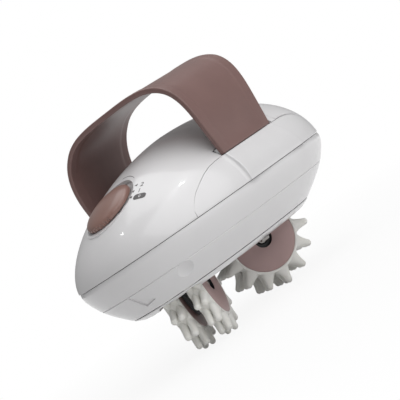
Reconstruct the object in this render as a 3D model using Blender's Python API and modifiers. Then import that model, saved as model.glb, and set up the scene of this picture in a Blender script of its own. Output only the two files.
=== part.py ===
# Handheld body massager: an egg-shaped casing under a hand loop, with two
# pairs of toothed rollers driven by two small gearmotors.
#
# Lengths are in metres. +X runs from the nose to the tail and +Z is up. The
# massager stands on the tips of its roller teeth at Z = 0. The near side, with
# the motors, is -Y.

import math

import bmesh
import bpy
from mathutils import Matrix

MM = 0.001

# Casing, seen from above: an egg with its widest section at crown_x
crown_x = 8.0 * MM
nose_reach = 95.5 * MM
tail_reach = 79.5 * MM
casing_half_width = 59.0 * MM
outline_power = 2.36
casing_wall = 2.2 * MM
casing_points = 40

# Dome over the parting line; it clears the motors' straps by the headroom
dome_headroom = 18.0 * MM
side_round_power = 1.7
tail_round_power = 2.3
dome_level_shares = (0.0, 0.15, 0.31, 0.47, 0.62, 0.76, 0.88, 0.96)

# Lower shell under the parting line
lower_depth = 25.5 * MM
lip_inset = 0.7 * MM
floor_nose_reach = 82.5 * MM
floor_tail_reach = 50.0 * MM
floor_half_width = 41.0 * MM
lower_level_shares = (
    (0.0, 0.0), (0.25, 0.13), (0.486, 0.28), (0.65, 0.48), (0.82, 0.70), (1.0, 1.0),
)

# Gaps between pieces that touch, and the distance that welds points
weld_distance = 0.01 * MM
seat_gap = 0.3 * MM
running_gap = 0.3 * MM
cut_overrun = 2.0 * MM

# Bottom plate
plate_thickness = 2.5 * MM
plate_inset = 0.8 * MM
slot_end_gap = 1.2 * MM
slot_side_gap = 1.1 * MM
slot_corner_radius = 5.0 * MM
slot_corner_steps = 4
land_length = 16.0 * MM
land_width = 9.0 * MM
land_height = 0.8 * MM
land_offset = 24.0 * MM

# Toothed rollers
roller_mid_x = -9.0 * MM
pair_half_spacing = 33.0 * MM
roller_yaw = math.radians(30.5)
axle_drop = 30.3 * MM
tooth_tip_radius = 28.5 * MM
roller_width = 9.0 * MM
roller_spacing = 5.0 * MM
hub_radius = 18.5 * MM
tyre_wall = 1.2 * MM
tyre_rim_rise = 0.5 * MM
teeth_per_row = 14
tooth_row_offset = 2.25 * MM
tooth_base_half_length = 3.3 * MM
tooth_base_half_width = 2.15 * MM
tooth_tip_share = 0.42
tooth_sides = 6
tooth_root_depth = 0.7 * MM

# Axle and hub
axle_radius = 2.5 * MM
axle_end_inset = 2.6 * MM
hub_recess_radius = 5.4 * MM
hub_recess_depth = 2.2 * MM
hub_dish_depth = 0.5 * MM
hub_dish_rim = 1.6 * MM
screw_head_radius = 3.3 * MM
screw_head_height = 1.7 * MM
screw_shank_radius = 1.1 * MM
screw_shank_length = 4.5 * MM

# Gear train between the two rollers of a pair
gear_module = 1.0 * MM
axle_gear_teeth = 20
idler_teeth = 28
pinion_teeth = 12
tooth_addendum_share = 0.85
tooth_dedendum_share = 1.15
gear_root_share = 0.30
gear_tip_share = 0.10
gear_half_thickness = 0.9 * MM
gear_bore_gap = 0.25 * MM
idler_pin_radius = 1.5 * MM
output_shaft_radius = 2.0 * MM
gearbox_wall = 1.0 * MM
gearbox_rim = 1.0 * MM
gearbox_steps = 8

# Gearmotors
gearhead_radius = 12.0 * MM
gearhead_length = 10.5 * MM
shaft_socket_depth = 5.5 * MM
motor_radius = 11.5 * MM
motor_length = 19.0 * MM
motor_chamfer = 1.5 * MM
motor_boss_radius = 4.0 * MM
motor_boss_height = 1.6 * MM
strap_thickness = 1.8 * MM
strap_width = 7.0 * MM
strap_foot = 5.0 * MM
strap_inset = 6.0 * MM

# Chassis
chassis_thickness = 2.0 * MM
chassis_edge_gap = 0.8 * MM
post_radius = 3.6 * MM
post_hole_radius = 1.5 * MM
case_screw_radius = 1.2 * MM
case_screw_head_radius = 2.8 * MM
case_screw_head_height = 1.4 * MM
case_screw_bite = 12.0 * MM
post_places = (
    (-9.0 * MM, 33.0 * MM), (-9.0 * MM, -33.0 * MM),
    (38.0 * MM, 24.0 * MM), (-50.0 * MM, 22.0 * MM),
)

# Hand loop
loop_inset = 7.5 * MM
loop_rise = 59.0 * MM
loop_leg_top = 13.3 * MM
loop_power = 3.3
loop_thickness = 3.0 * MM
loop_nose_edge_x = -19.0 * MM
loop_tail_edge_x = 26.0 * MM
loop_flare = 6.0 * MM
loop_flare_height = 26.0 * MM
loop_foot_height = 18.6 * MM
loop_steps = 26
loop_edge_bevel = 1.2 * MM

# Pedestals that carry the loop's feet
pedestal_side_gap = 0.3 * MM
pedestal_nose_flare = 3.0 * MM
pedestal_tail_flare = 5.0 * MM
pedestal_rim = 0.5 * MM
pedestal_bulge = 0.5 * MM
pedestal_inner_drop = 5.0 * MM
pedestal_lip_height = 4.2 * MM
pedestal_lip_thickness = 2.4 * MM
pedestal_wall = 2.4 * MM
pedestal_level_shares = ((0.0, 0.0), (0.15, 0.0), (0.45, 0.55), (0.72, 1.0), (1.0, 1.0))

# Rear cover and its front seam, which runs down to the parting line
seam_foot_x = -58.0 * MM
seam_bend_shares = ((0.0, 0.0), (0.35, 0.16), (0.66, 0.40), (0.88, 0.70), (1.0, 1.0))
door_front_x = 34.5 * MM

# Rotary switch on the nose
knob_x = -57.5 * MM
knob_tilt = math.radians(22)
knob_radius = 17.5 * MM
knob_seat_depth = 2.2 * MM
knob_rim_height = 2.4 * MM
knob_crown_height = 8.2 * MM
knob_stem_radius = 3.0 * MM
knob_stem_length = 6.4 * MM
knob_seat_gap = 0.5 * MM
knob_boss_radius = 16.8 * MM
knob_boss_thickness = 2.6 * MM
grip_groove_count = 7
grip_groove_pitch = math.radians(9)
grip_groove_radius = 0.9 * MM
switch_body_radius = 7.5 * MM
switch_body_height = 5.5 * MM
switch_socket_depth = 3.6 * MM

# Power supply and control board
cell_radius = 7.0 * MM
cell_half_length = 24.6 * MM
cell_nub_radius = 2.6 * MM
cell_nub_height = 1.0 * MM
cell_count = 3
first_cell_x = 41.5 * MM
tray_floor = 1.5 * MM
tray_wall = 1.1 * MM
tray_wall_height = 8.0 * MM
contact_thickness = 0.4 * MM
contact_height = 9.0 * MM
board_length = 17.0 * MM
board_width = 34.0 * MM
board_thickness = 1.6 * MM
board_x = -69.0 * MM

turned_steps = 24

# Heights that follow from the sizes above
axle_z = tooth_tip_radius
parting_z = axle_z + axle_drop
floor_z = parting_z - lower_depth
plate_top_z = floor_z - seat_gap
plate_low_z = plate_top_z - plate_thickness
idler_rise = gear_module * (axle_gear_teeth + idler_teeth) / 2
pinion_rise = idler_rise + gear_module * (idler_teeth + pinion_teeth) / 2
motor_z = axle_z + pinion_rise
chassis_top_z = motor_z - gearhead_radius - seat_gap
chassis_low_z = chassis_top_z - chassis_thickness
foot_z = parting_z + loop_foot_height
roller_inner = roller_spacing / 2
roller_outer = roller_inner + roller_width
tyre_inner_radius = hub_radius + seat_gap
tyre_outer_radius = tyre_inner_radius + tyre_wall
gearbox_half = roller_inner - running_gap
gearhead_start = gearbox_half + seat_gap
motor_start = gearhead_start + gearhead_length + seat_gap
strap_radius = motor_radius + seat_gap + strap_thickness
dome_height = motor_z + strap_radius + dome_headroom - parting_z
loop_half_span = casing_half_width - loop_inset

materials = {
    "white_gloss": ((0.86, 0.86, 0.87), 0.22, 0.0),
    "mauve_soft": ((0.27, 0.19, 0.18), 0.42, 0.0),
    "mauve_hub": ((0.25, 0.17, 0.17), 0.45, 0.0),
    "white_rubber": ((0.78, 0.79, 0.76), 0.6, 0.0),
    "black_nylon": ((0.03, 0.03, 0.035), 0.5, 0.0),
    "natural_acetal": ((0.80, 0.79, 0.74), 0.45, 0.0),
    "steel": ((0.62, 0.62, 0.63), 0.28, 1.0),
    "motor_can": ((0.55, 0.56, 0.57), 0.35, 1.0),
    "board_green": ((0.05, 0.22, 0.10), 0.5, 0.0),
    "cell_sleeve": ((0.12, 0.13, 0.15), 0.35, 0.0),
    "nickel": ((0.70, 0.68, 0.62), 0.3, 1.0),
}


def clear_scene():
    for item in list(bpy.data.objects):
        bpy.data.objects.remove(item, do_unlink=True)


def new_collection(name):
    group = bpy.data.collections.new(name)
    bpy.context.scene.collection.children.link(group)
    return group


def material(name):
    made = bpy.data.materials.get(name)
    if made is None:
        colour, roughness, metallic = materials[name]
        made = bpy.data.materials.new(name)
        made.use_nodes = True
        shader = made.node_tree.nodes["Principled BSDF"]
        shader.inputs["Base Color"].default_value = (*colour, 1.0)
        shader.inputs["Roughness"].default_value = roughness
        shader.inputs["Metallic"].default_value = metallic
        made.diffuse_color = (*colour, 1.0)
    return made


def new_object(name, mesh, finish=None, parent=None):
    piece = bpy.data.objects.new(name, mesh)
    if finish is None:
        tools.objects.link(piece)
        piece.hide_render = True
        piece.display_type = "WIRE"
    else:
        parts.objects.link(piece)
        mesh.materials.append(material(finish))
    piece.parent = parent
    return piece


def smooth(piece, degrees=35):
    piece.data.shade_smooth()
    piece.data.set_sharp_from_angle(angle=math.radians(degrees))


def mesh_of(name, build):
    mesh = bpy.data.meshes.new(name)
    work = bmesh.new()
    build(work)
    bmesh.ops.recalc_face_normals(work, faces=work.faces)
    work.to_mesh(mesh)
    work.free()
    return mesh


def loft(name, rings, finish=None, close_low=False, close_high=False, pole=None):
    """Skin rings of equal length, open at the ends unless they are closed."""

    def build(work):
        rows = [[work.verts.new(point) for point in ring] for ring in rings]
        count = len(rings[0])
        for low, high in zip(rows[:-1], rows[1:]):
            for k in range(count):
                n = (k + 1) % count
                work.faces.new((low[k], low[n], high[n], high[k]))
        if pole is not None:
            top = work.verts.new(pole)
            for k in range(count):
                work.faces.new((rows[-1][k], rows[-1][(k + 1) % count], top))
        if close_low:
            work.faces.new(rows[0])
        if close_high:
            work.faces.new(rows[-1])

    return new_object(name, mesh_of(name, build), finish)


def flat_piece(name, loops, low, high, finish=None, parent=None):
    """A flat outline with holes, from low to high along its own Z."""
    outline = bpy.data.curves.new(name, "CURVE")
    outline.dimensions = "2D"
    outline.fill_mode = "BOTH"
    outline.extrude = (high - low) / 2
    for loop in loops:
        spline = outline.splines.new("POLY")
        spline.points.add(len(loop) - 1)
        for point, (x, y) in zip(spline.points, loop):
            point.co = (x, y, 0.0, 1.0)
        spline.use_cyclic_u = True
    holder = bpy.data.objects.new(name + "_outline", outline)
    bpy.context.scene.collection.objects.link(holder)
    depsgraph = bpy.context.evaluated_depsgraph_get()
    mesh = bpy.data.meshes.new_from_object(holder.evaluated_get(depsgraph))
    bpy.data.objects.remove(holder, do_unlink=True)
    mesh.name = name
    mesh.materials.clear()
    work = bmesh.new()
    work.from_mesh(mesh)
    bmesh.ops.remove_doubles(work, verts=work.verts, dist=weld_distance)
    bmesh.ops.translate(work, verts=work.verts, vec=(0.0, 0.0, (low + high) / 2))
    bmesh.ops.recalc_face_normals(work, faces=work.faces)
    work.to_mesh(mesh)
    work.free()
    return new_object(name, mesh, finish, parent)


def turned(name, profile, finish=None, parent=None, steps=turned_steps):
    """A closed half section, in (radius, height) points, turned about Z."""
    pairs = list(zip(profile, profile[1:] + profile[:1]))
    if sum(first[0] * second[1] - second[0] * first[1] for first, second in pairs) > 0.0:
        profile = profile[::-1]
    mesh = bpy.data.meshes.new(name)
    work = bmesh.new()
    points = [work.verts.new((radius, 0.0, height)) for radius, height in profile]
    for first, second in zip(points, points[1:] + points[:1]):
        if max(first.co.x, second.co.x) > 0.0:
            work.edges.new((first, second))
    work.to_mesh(mesh)
    work.free()
    piece = new_object(name, mesh, finish, parent)
    screw = piece.modifiers.new("Turn", "SCREW")
    screw.axis = "Z"
    screw.steps = steps
    screw.render_steps = steps
    screw.use_merge_vertices = True
    screw.merge_threshold = weld_distance
    screw.use_smooth_shade = False
    return piece


def cylinder(name, radius, low, high, finish=None, parent=None, sides=turned_steps):
    def build(work):
        made = bmesh.ops.create_cone(
            work, cap_ends=True, segments=sides, radius1=radius, radius2=radius, depth=high - low)
        bmesh.ops.translate(work, verts=made["verts"], vec=(0.0, 0.0, (low + high) / 2))

    return new_object(name, mesh_of(name, build), finish, parent)


def box(name, low, high, finish=None, parent=None):
    size = [top - bottom for bottom, top in zip(low, high)]
    middle = [(top + bottom) / 2 for bottom, top in zip(low, high)]

    def build(work):
        bmesh.ops.create_cube(work, size=1.0)
        bmesh.ops.scale(work, verts=work.verts, vec=size)
        bmesh.ops.translate(work, verts=work.verts, vec=middle)

    return new_object(name, mesh_of(name, build), finish, parent)


def combine(piece, other, operation):
    step = piece.modifiers.new(operation.title(), "BOOLEAN")
    step.operation = operation
    step.solver = "EXACT"
    step.object = other
    return step


def cut(piece, *cutters):
    for cutter in cutters:
        combine(piece, cutter, "DIFFERENCE")


def add(piece, *others):
    for other in others:
        combine(piece, other, "UNION")


def plan_direction(angle):
    """A point of the unit outline, squarer than a circle."""
    cosine, sine = math.cos(angle), math.sin(angle)
    x = math.copysign(abs(cosine) ** (2 / outline_power), cosine)
    y = math.copysign(abs(sine) ** (2 / outline_power), sine)
    return x, y


def plan_ring(nose, tail, half_width, count=casing_points):
    ring = []
    for step in range(count):
        x, y = plan_direction(math.tau * step / count)
        reach = tail if x > 0.0 else nose
        ring.append((crown_x + reach * x, half_width * y))
    return ring


def dome_share(height, x):
    """How far out the dome reaches at this height, as a share of the outline."""
    height = max(height, 0.0)
    power = side_round_power + (tail_round_power - side_round_power) * max(x, 0.0) ** 2
    return (1.0 - (height / dome_height) ** power) ** (1 / power)


def dome_ring(height):
    ring = []
    for step in range(casing_points):
        x, y = plan_direction(math.tau * step / casing_points)
        reach = tail_reach if x > 0.0 else nose_reach
        share = dome_share(height, x)
        ring.append((crown_x + reach * x * share, casing_half_width * y * share, parting_z + height))
    return ring


def dome_height_at(x):
    """Height of the dome over the parting line, on the middle plane of the nose."""
    share = (crown_x - x) / nose_reach
    return dome_height * (1.0 - share ** side_round_power) ** (1 / side_round_power)


def dome_half_width_at(height):
    return casing_half_width * dome_share(height, 0.0)


def dome_height_at_half_width(half_width):
    share = min(half_width / casing_half_width, 1.0)
    return dome_height * (1.0 - share ** side_round_power) ** (1 / side_round_power)


def dome_shell(name, finish=None):
    heights = [-cut_overrun] + [dome_height * share for share in dome_level_shares]
    rings = [dome_ring(height) for height in heights]
    shell = loft(name, rings, finish, pole=(crown_x, 0.0, parting_z + dome_height))
    thicken(shell)
    keep_between(shell, parting_z + seat_gap, parting_z + dome_height + cut_overrun)
    smooth(shell)
    return shell


def thicken(shell):
    wall = shell.modifiers.new("Wall", "SOLIDIFY")
    wall.thickness = casing_wall
    wall.offset = -1.0
    wall.use_even_offset = True


def keep_between(piece, low_z, high_z):
    """Trim a shell's rims flat."""
    reach = 2 * nose_reach
    keep = box(piece.name + "_rims_form", (-reach, -reach, low_z), (reach, reach, high_z))
    combine(piece, keep, "INTERSECT")


def rear_cover_outline(gap):
    """The side view of the rear cover: the seam, the top edge and a clear rest."""
    seam = []
    for across, up in seam_bend_shares:
        x = seam_foot_x + (loop_nose_edge_x - seam_foot_x) * across
        seam.append((x + gap, parting_z + (loop_foot_height - gap) * up))
    end_x = crown_x + tail_reach + cut_overrun
    low_z = parting_z - cut_overrun
    return [(seam[0][0], low_z)] + seam + [(end_x, foot_z - gap), (end_x, low_z)]


def side_prism(name, outline):
    """A prism across the whole casing from an outline in (x, z)."""
    half = casing_half_width + cut_overrun
    prism = flat_piece(name, [outline], -half, half)
    prism.rotation_euler = (math.pi / 2, 0.0, 0.0)
    return prism


def front_cover():
    cover = dome_shell("front_cover", "white_gloss")
    seat = knob_frame()
    boss = cylinder("knob_boss_form", knob_boss_radius, -knob_seat_depth - knob_boss_thickness,
                    -knob_seat_depth / 2, parent=seat)
    recess = cylinder("knob_recess_form", knob_radius + knob_seat_gap, -knob_seat_depth,
                      knob_crown_height + cut_overrun, parent=seat)
    stem_hole = cylinder("knob_stem_hole_form", knob_stem_radius + running_gap,
                         -knob_seat_depth - knob_boss_thickness - cut_overrun,
                         cut_overrun, parent=seat)
    rear = side_prism("rear_cover_room_form", rear_cover_outline(0.0))
    end_x = crown_x + tail_reach + cut_overrun
    half = casing_half_width + cut_overrun
    door = box("door_room_form", (door_front_x, -half, foot_z - cut_overrun),
               (end_x, half, parting_z + dome_height + cut_overrun))
    add(cover, boss)
    cut(cover, recess, stem_hole, rear, door)
    for side in (-1, 1):
        cut(cover, loop_foot_room(side))
    return cover


def loop_foot_room(side):
    """Room in the front cover for one foot of the loop and the lip behind it."""
    inner = loop_half_span - loop_thickness - seat_gap - pedestal_lip_thickness - seat_gap
    outer = casing_half_width + cut_overrun
    spread = sorted((side * inner, side * outer))
    gap = pedestal_side_gap + seat_gap
    lip_top = loop_foot_height + pedestal_lip_height + seat_gap
    top_z = parting_z + max(lip_top, dome_height_at_half_width(inner + pedestal_lip_thickness))
    return box("loop_room_form",
               (loop_nose_edge_x - gap, spread[0], foot_z - cut_overrun),
               (loop_tail_edge_x + loop_flare_at(top_z) + gap, spread[1], top_z))


def rear_cover():
    cover = dome_shell("rear_cover", "white_gloss")
    keep = side_prism("rear_cover_form", rear_cover_outline(seat_gap))
    combine(cover, keep, "INTERSECT")
    for side in (-1, 1):
        add(cover, pedestal(side))
    return cover


def pedestal(side):
    """The block that carries a foot of the loop, lofted level by level."""
    base_z = parting_z + seat_gap
    top_z = foot_z - seat_gap
    deep = loop_half_span - loop_thickness - seat_gap - pedestal_lip_thickness
    shoulder = loop_half_span + pedestal_rim - dome_half_width_at(top_z - parting_z)
    rings = []
    for share, inward_share in pedestal_level_shares:
        z = base_z + (top_z - base_z) * share
        dome = dome_half_width_at(z - parting_z)
        outer = dome + shoulder * share + pedestal_bulge * math.sin(math.pi * share)
        inner = dome - pedestal_wall
        inner += (deep - inner) * inward_share
        low_x = loop_nose_edge_x - pedestal_nose_flare * (1.0 - share)
        high_x = loop_tail_edge_x + pedestal_tail_flare * (1.0 - share)
        rings.append([(low_x, side * inner, z), (high_x, side * inner, z),
                      (high_x, side * outer, z), (low_x, side * outer, z)])
    block = loft("pedestal_form", rings, close_low=True, close_high=True)
    inner = loop_half_span - loop_thickness - seat_gap - pedestal_lip_thickness
    outer = loop_half_span - loop_thickness - seat_gap
    spread = sorted((side * inner, side * outer))
    lip = box("pedestal_lip_form", (loop_nose_edge_x, spread[0], foot_z - pedestal_inner_drop),
              (loop_tail_edge_x, spread[1], foot_z + pedestal_lip_height))
    add(block, lip)
    return block


def battery_door():
    door = dome_shell("battery_door", "white_gloss")
    end_x = crown_x + tail_reach + cut_overrun
    half = casing_half_width + cut_overrun
    keep = box("battery_door_form", (door_front_x + seat_gap, -half, foot_z + seat_gap),
               (end_x, half, parting_z + dome_height + cut_overrun))
    combine(door, keep, "INTERSECT")
    return door


def lower_shell():
    rings = []
    for depth_share, inset_share in lower_level_shares:
        nose = nose_reach - lip_inset
        tail = tail_reach - lip_inset
        half = casing_half_width - lip_inset
        nose += (floor_nose_reach - nose) * inset_share
        tail += (floor_tail_reach - tail) * inset_share
        half += (floor_half_width - half) * inset_share
        z = parting_z - lower_depth * depth_share
        rings.append([(x, y, z) for x, y in plan_ring(nose, tail, half)])
    rings.insert(0, [(x, y, z + cut_overrun) for x, y, z in rings[0]])
    rings.append([(x, y, z - cut_overrun) for x, y, z in rings[-1]])
    shell = loft("lower_shell", rings[::-1], "white_gloss")
    thicken(shell)
    keep_between(shell, floor_z, parting_z)
    smooth(shell)
    return shell


def pair_centre(side):
    """Where the middle of a roller pair stands: side -1 is the nose pair."""
    return roller_mid_x + side * pair_half_spacing


def slot_outline(side):
    """The roller opening of one pair, a rounded rectangle turned with the pair."""
    half_length = tooth_tip_radius + slot_end_gap
    half_width = roller_outer + slot_side_gap
    radius = slot_corner_radius
    yaw = -side * roller_yaw
    centre = pair_centre(side)
    loop = []
    for quarter in range(4):
        corner = math.pi / 4 + quarter * math.pi / 2
        across = math.copysign(half_length - radius, math.cos(corner))
        along = math.copysign(half_width - radius, math.sin(corner))
        for step in range(slot_corner_steps + 1):
            angle = quarter * math.pi / 2 + step * math.pi / 2 / slot_corner_steps
            x = across + radius * math.cos(angle)
            y = along + radius * math.sin(angle)
            loop.append((centre + x * math.cos(yaw) - y * math.sin(yaw),
                         x * math.sin(yaw) + y * math.cos(yaw)))
    return loop


def circle(radius, centre=(0.0, 0.0), steps=12):
    return [(centre[0] + radius * math.cos(math.tau * k / steps),
             centre[1] + radius * math.sin(math.tau * k / steps)) for k in range(steps)]


def bottom_plate():
    outline = plan_ring(floor_nose_reach - plate_inset, floor_tail_reach - plate_inset,
                        floor_half_width - plate_inset)
    screw_hole = case_screw_radius + running_gap
    loops = [outline, slot_outline(-1), slot_outline(1)]
    loops += [circle(screw_hole, place) for place in post_places]
    plate = flat_piece("bottom_plate", loops, plate_low_z, plate_top_z, "white_gloss")
    land = box("rest_land_form",
               (roller_mid_x - land_length / 2, land_offset - land_width / 2, plate_low_z - land_height),
               (roller_mid_x + land_length / 2, land_offset + land_width / 2, plate_top_z - plate_inset))
    add(plate, land)
    return plate


def arm_half_width(rise):
    """Half the width of a gearbox arm at this height over the axle."""
    low_radius = gear_tip_radius(idler_teeth) + running_gap + gearbox_rim
    high_radius = gear_tip_radius(pinion_teeth) + running_gap + gearbox_rim
    lean = math.asin((low_radius - high_radius) / (pinion_rise - idler_rise))
    return (low_radius - (rise - idler_rise) * math.sin(lean)) / math.cos(lean)


def chassis():
    shrink = casing_wall + chassis_edge_gap + lip_inset
    outline = plan_ring(nose_reach - shrink, tail_reach - shrink, casing_half_width - shrink)
    loops = [outline]
    rise = chassis_low_z - axle_z
    half_length = arm_half_width(rise) + seat_gap + running_gap
    half_width = gearbox_half + seat_gap
    for side in (-1, 1):
        yaw = -side * roller_yaw
        corners = ((half_length, half_width), (-half_length, half_width),
                   (-half_length, -half_width), (half_length, -half_width))
        loops.append([(pair_centre(side) + x * math.cos(yaw) - y * math.sin(yaw),
                       x * math.sin(yaw) + y * math.cos(yaw)) for x, y in corners])
    plate = flat_piece("chassis", loops, chassis_low_z, chassis_top_z, "black_nylon")
    for x, y in post_places:
        post = cylinder("post_form", post_radius, plate_top_z + seat_gap,
                        chassis_low_z + chassis_thickness / 2, sides=16)
        post.location = (x, y, 0.0)
        hole = cylinder("post_hole_form", post_hole_radius, plate_low_z,
                        plate_top_z + case_screw_bite + cut_overrun, sides=12)
        hole.location = (x, y, 0.0)
        add(plate, post)
        cut(plate, hole)
    return plate


def case_screws():
    for number, (x, y) in enumerate(post_places, 1):
        under = plate_low_z - seat_gap
        profile = [
            (0.0, plate_top_z + case_screw_bite),
            (case_screw_radius, plate_top_z + case_screw_bite),
            (case_screw_radius, under),
            (case_screw_head_radius, under),
            (case_screw_head_radius * 0.9, under - case_screw_head_height),
            (0.0, under - case_screw_head_height),
        ]
        screw = turned("case_screw_%d" % number, profile, "steel", steps=12)
        screw.location = (x, y, 0.0)


def loop_point(angle):
    """A point of the loop's outer face, seen along the massager."""
    cosine, sine = math.cos(angle), math.sin(angle)
    y = math.copysign(abs(cosine) ** (2 / loop_power), cosine) * loop_half_span
    z = parting_z + loop_leg_top + loop_rise * abs(sine) ** (2 / loop_power)
    return y, z


def loop_flare_at(z):
    """How much further the loop's tail edge reaches at this height than at its feet."""
    share = min((z - foot_z) / loop_flare_height, 1.0)
    return loop_flare * (1.0 - (1.0 - share) ** 2)


def handle_band():
    """The hand loop: a wide strip bent over the dome, flaring above its feet."""
    path = [(loop_half_span, foot_z)]
    for step in range(loop_steps + 1):
        y, z = loop_point(math.pi * step / loop_steps)
        if z > foot_z + loop_thickness / 2:
            path.append((y, z))
    path.append((-loop_half_span, foot_z))
    rows = []
    for y, z in path:
        rows.append(((loop_nose_edge_x, y, z), (loop_tail_edge_x + loop_flare_at(z), y, z)))

    def build(work):
        lines = [[work.verts.new(point) for point in row] for row in rows]
        for first, second in zip(lines[:-1], lines[1:]):
            work.faces.new((first[0], second[0], second[1], first[1]))

    mesh = bpy.data.meshes.new("handle_band")
    work = bmesh.new()
    build(work)
    work.to_mesh(mesh)
    work.free()
    band = new_object("handle_band", mesh, "mauve_soft")
    wall = band.modifiers.new("Wall", "SOLIDIFY")
    wall.thickness = loop_thickness
    wall.offset = -1.0
    wall.use_even_offset = True
    edge = band.modifiers.new("Edge", "BEVEL")
    edge.width = loop_edge_bevel
    edge.segments = 2
    edge.limit_method = "ANGLE"
    edge.angle_limit = math.radians(60)
    smooth(band)
    return band


def knob_frame():
    """An empty on the switch's turning axis, at the dome's surface."""
    frame = bpy.data.objects.get("knob_axis")
    if frame is None:
        frame = bpy.data.objects.new("knob_axis", None)
        bpy.context.scene.collection.objects.link(frame)
        frame.location = (knob_x, 0.0, parting_z + dome_height_at(knob_x))
        frame.rotation_euler = (0.0, -knob_tilt, 0.0)
    return frame


def switch_knob():
    """A domed rotary knob with thumb grooves in its rim on the nose side."""
    base = -knob_seat_depth + seat_gap
    rim = base + knob_rim_height
    profile = [(0.0, knob_crown_height)]
    steps = 6
    for step in range(1, steps + 1):
        angle = step / steps * math.pi / 2
        profile.append((knob_radius * math.sin(angle),
                        rim + (knob_crown_height - rim) * math.cos(angle) ** 0.8))
    profile[-1] = (knob_radius, rim)
    profile += [
        (knob_radius, base),
        (knob_stem_radius, base),
        (knob_stem_radius, base - knob_stem_length),
        (0.0, base - knob_stem_length),
    ]
    knob = turned("switch_knob", profile, "mauve_soft", knob_frame(), steps=32)
    for step in range(grip_groove_count):
        angle = math.pi + (step - (grip_groove_count - 1) / 2) * grip_groove_pitch
        groove = cylinder("grip_groove_form", grip_groove_radius, base - seat_gap,
                          knob_crown_height, parent=knob_frame(), sides=8)
        groove.location = (knob_radius * math.cos(angle), knob_radius * math.sin(angle), 0.0)
        cut(knob, groove)
    smooth(knob)
    return knob


def switch_body():
    top = -knob_seat_depth - knob_boss_thickness - seat_gap
    low = top - switch_body_height
    bore = knob_stem_radius + running_gap
    profile = [
        (bore, top), (switch_body_radius, top), (switch_body_radius, low),
        (0.0, low), (0.0, top - switch_socket_depth - seat_gap),
        (bore, top - switch_socket_depth - seat_gap),
    ]
    return turned("switch_body", profile, "black_nylon", knob_frame())


def gear_tip_radius(teeth):
    return gear_module * (teeth / 2 + tooth_addendum_share)


def gear_outline(teeth, start_angle):
    """Straight-flanked teeth, thin enough to run free in mesh."""
    pitch_radius = gear_module * teeth / 2
    root_radius = pitch_radius - gear_module * tooth_dedendum_share
    tip_radius = gear_tip_radius(teeth)
    root_half = gear_root_share * math.tau / teeth
    tip_half = gear_tip_share * math.tau / teeth
    loop = []
    for tooth in range(teeth):
        middle = start_angle + math.tau * tooth / teeth
        for radius, offset in ((root_radius, -root_half), (tip_radius, -tip_half),
                               (tip_radius, tip_half), (root_radius, root_half)):
            loop.append((radius * math.cos(middle + offset), radius * math.sin(middle + offset)))
    return loop


def gear(name, teeth, start_angle, bore, rise, finish, parent):
    piece = flat_piece(name, [gear_outline(teeth, start_angle), circle(bore)],
                       -gear_half_thickness, gear_half_thickness, finish, parent)
    piece.location = (0.0, rise, 0.0)
    return piece


def arm_outline(grow):
    """Round the three gears: the hull of three circles on one line."""
    stations = (
        (0.0, gear_tip_radius(axle_gear_teeth)),
        (idler_rise, gear_tip_radius(idler_teeth)),
        (pinion_rise, gear_tip_radius(pinion_teeth)),
    )
    (low_y, low_r), (mid_y, mid_r), (top_y, top_r) = [
        (y, radius + running_gap + grow) for y, radius in stations]
    low_tilt = math.asin((low_r - mid_r) / (mid_y - low_y))
    top_tilt = math.asin((mid_r - top_r) / (top_y - mid_y))
    loop = []
    for centre, radius, first, last in (
            (low_y, low_r, math.pi - low_tilt, math.tau + low_tilt),
            (mid_y, mid_r, low_tilt, top_tilt),
            (top_y, top_r, top_tilt, math.pi - top_tilt),
            (mid_y, mid_r, math.pi - top_tilt, math.pi - low_tilt)):
        steps = max(2, round(gearbox_steps * (last - first) / math.pi))
        for step in range(steps + 1):
            angle = first + (last - first) * step / steps
            loop.append((radius * math.cos(angle), centre + radius * math.sin(angle)))
    clean = [loop[0]]
    for point in loop[1:]:
        if math.dist(point, clean[-1]) > weld_distance:
            clean.append(point)
    if math.dist(clean[0], clean[-1]) < weld_distance:
        clean.pop()
    return clean


def gearbox_shell(name, side, parent):
    """One half of the flat gearbox: a wall with a rim round the gear train."""
    holes = [
        circle(axle_radius + running_gap, (0.0, 0.0)),
        circle(idler_pin_radius + seat_gap / 2, (0.0, idler_rise)),
    ]
    if side > 0:
        holes.append(circle(output_shaft_radius + running_gap, (0.0, pinion_rise)))
    outer = gearbox_half
    inner = gear_half_thickness + running_gap
    seam = seat_gap / 2
    wall = sorted((side * inner, side * outer))
    rim = sorted((side * seam, side * (inner + gearbox_wall / 2)))
    shell = flat_piece(name, [arm_outline(gearbox_rim)] + holes, wall[0], wall[1], "black_nylon", parent)
    ring = flat_piece(name + "_rim_form", [arm_outline(gearbox_rim), arm_outline(0.0)],
                      rim[0], rim[1], parent=parent)
    add(shell, ring)
    return shell


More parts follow.
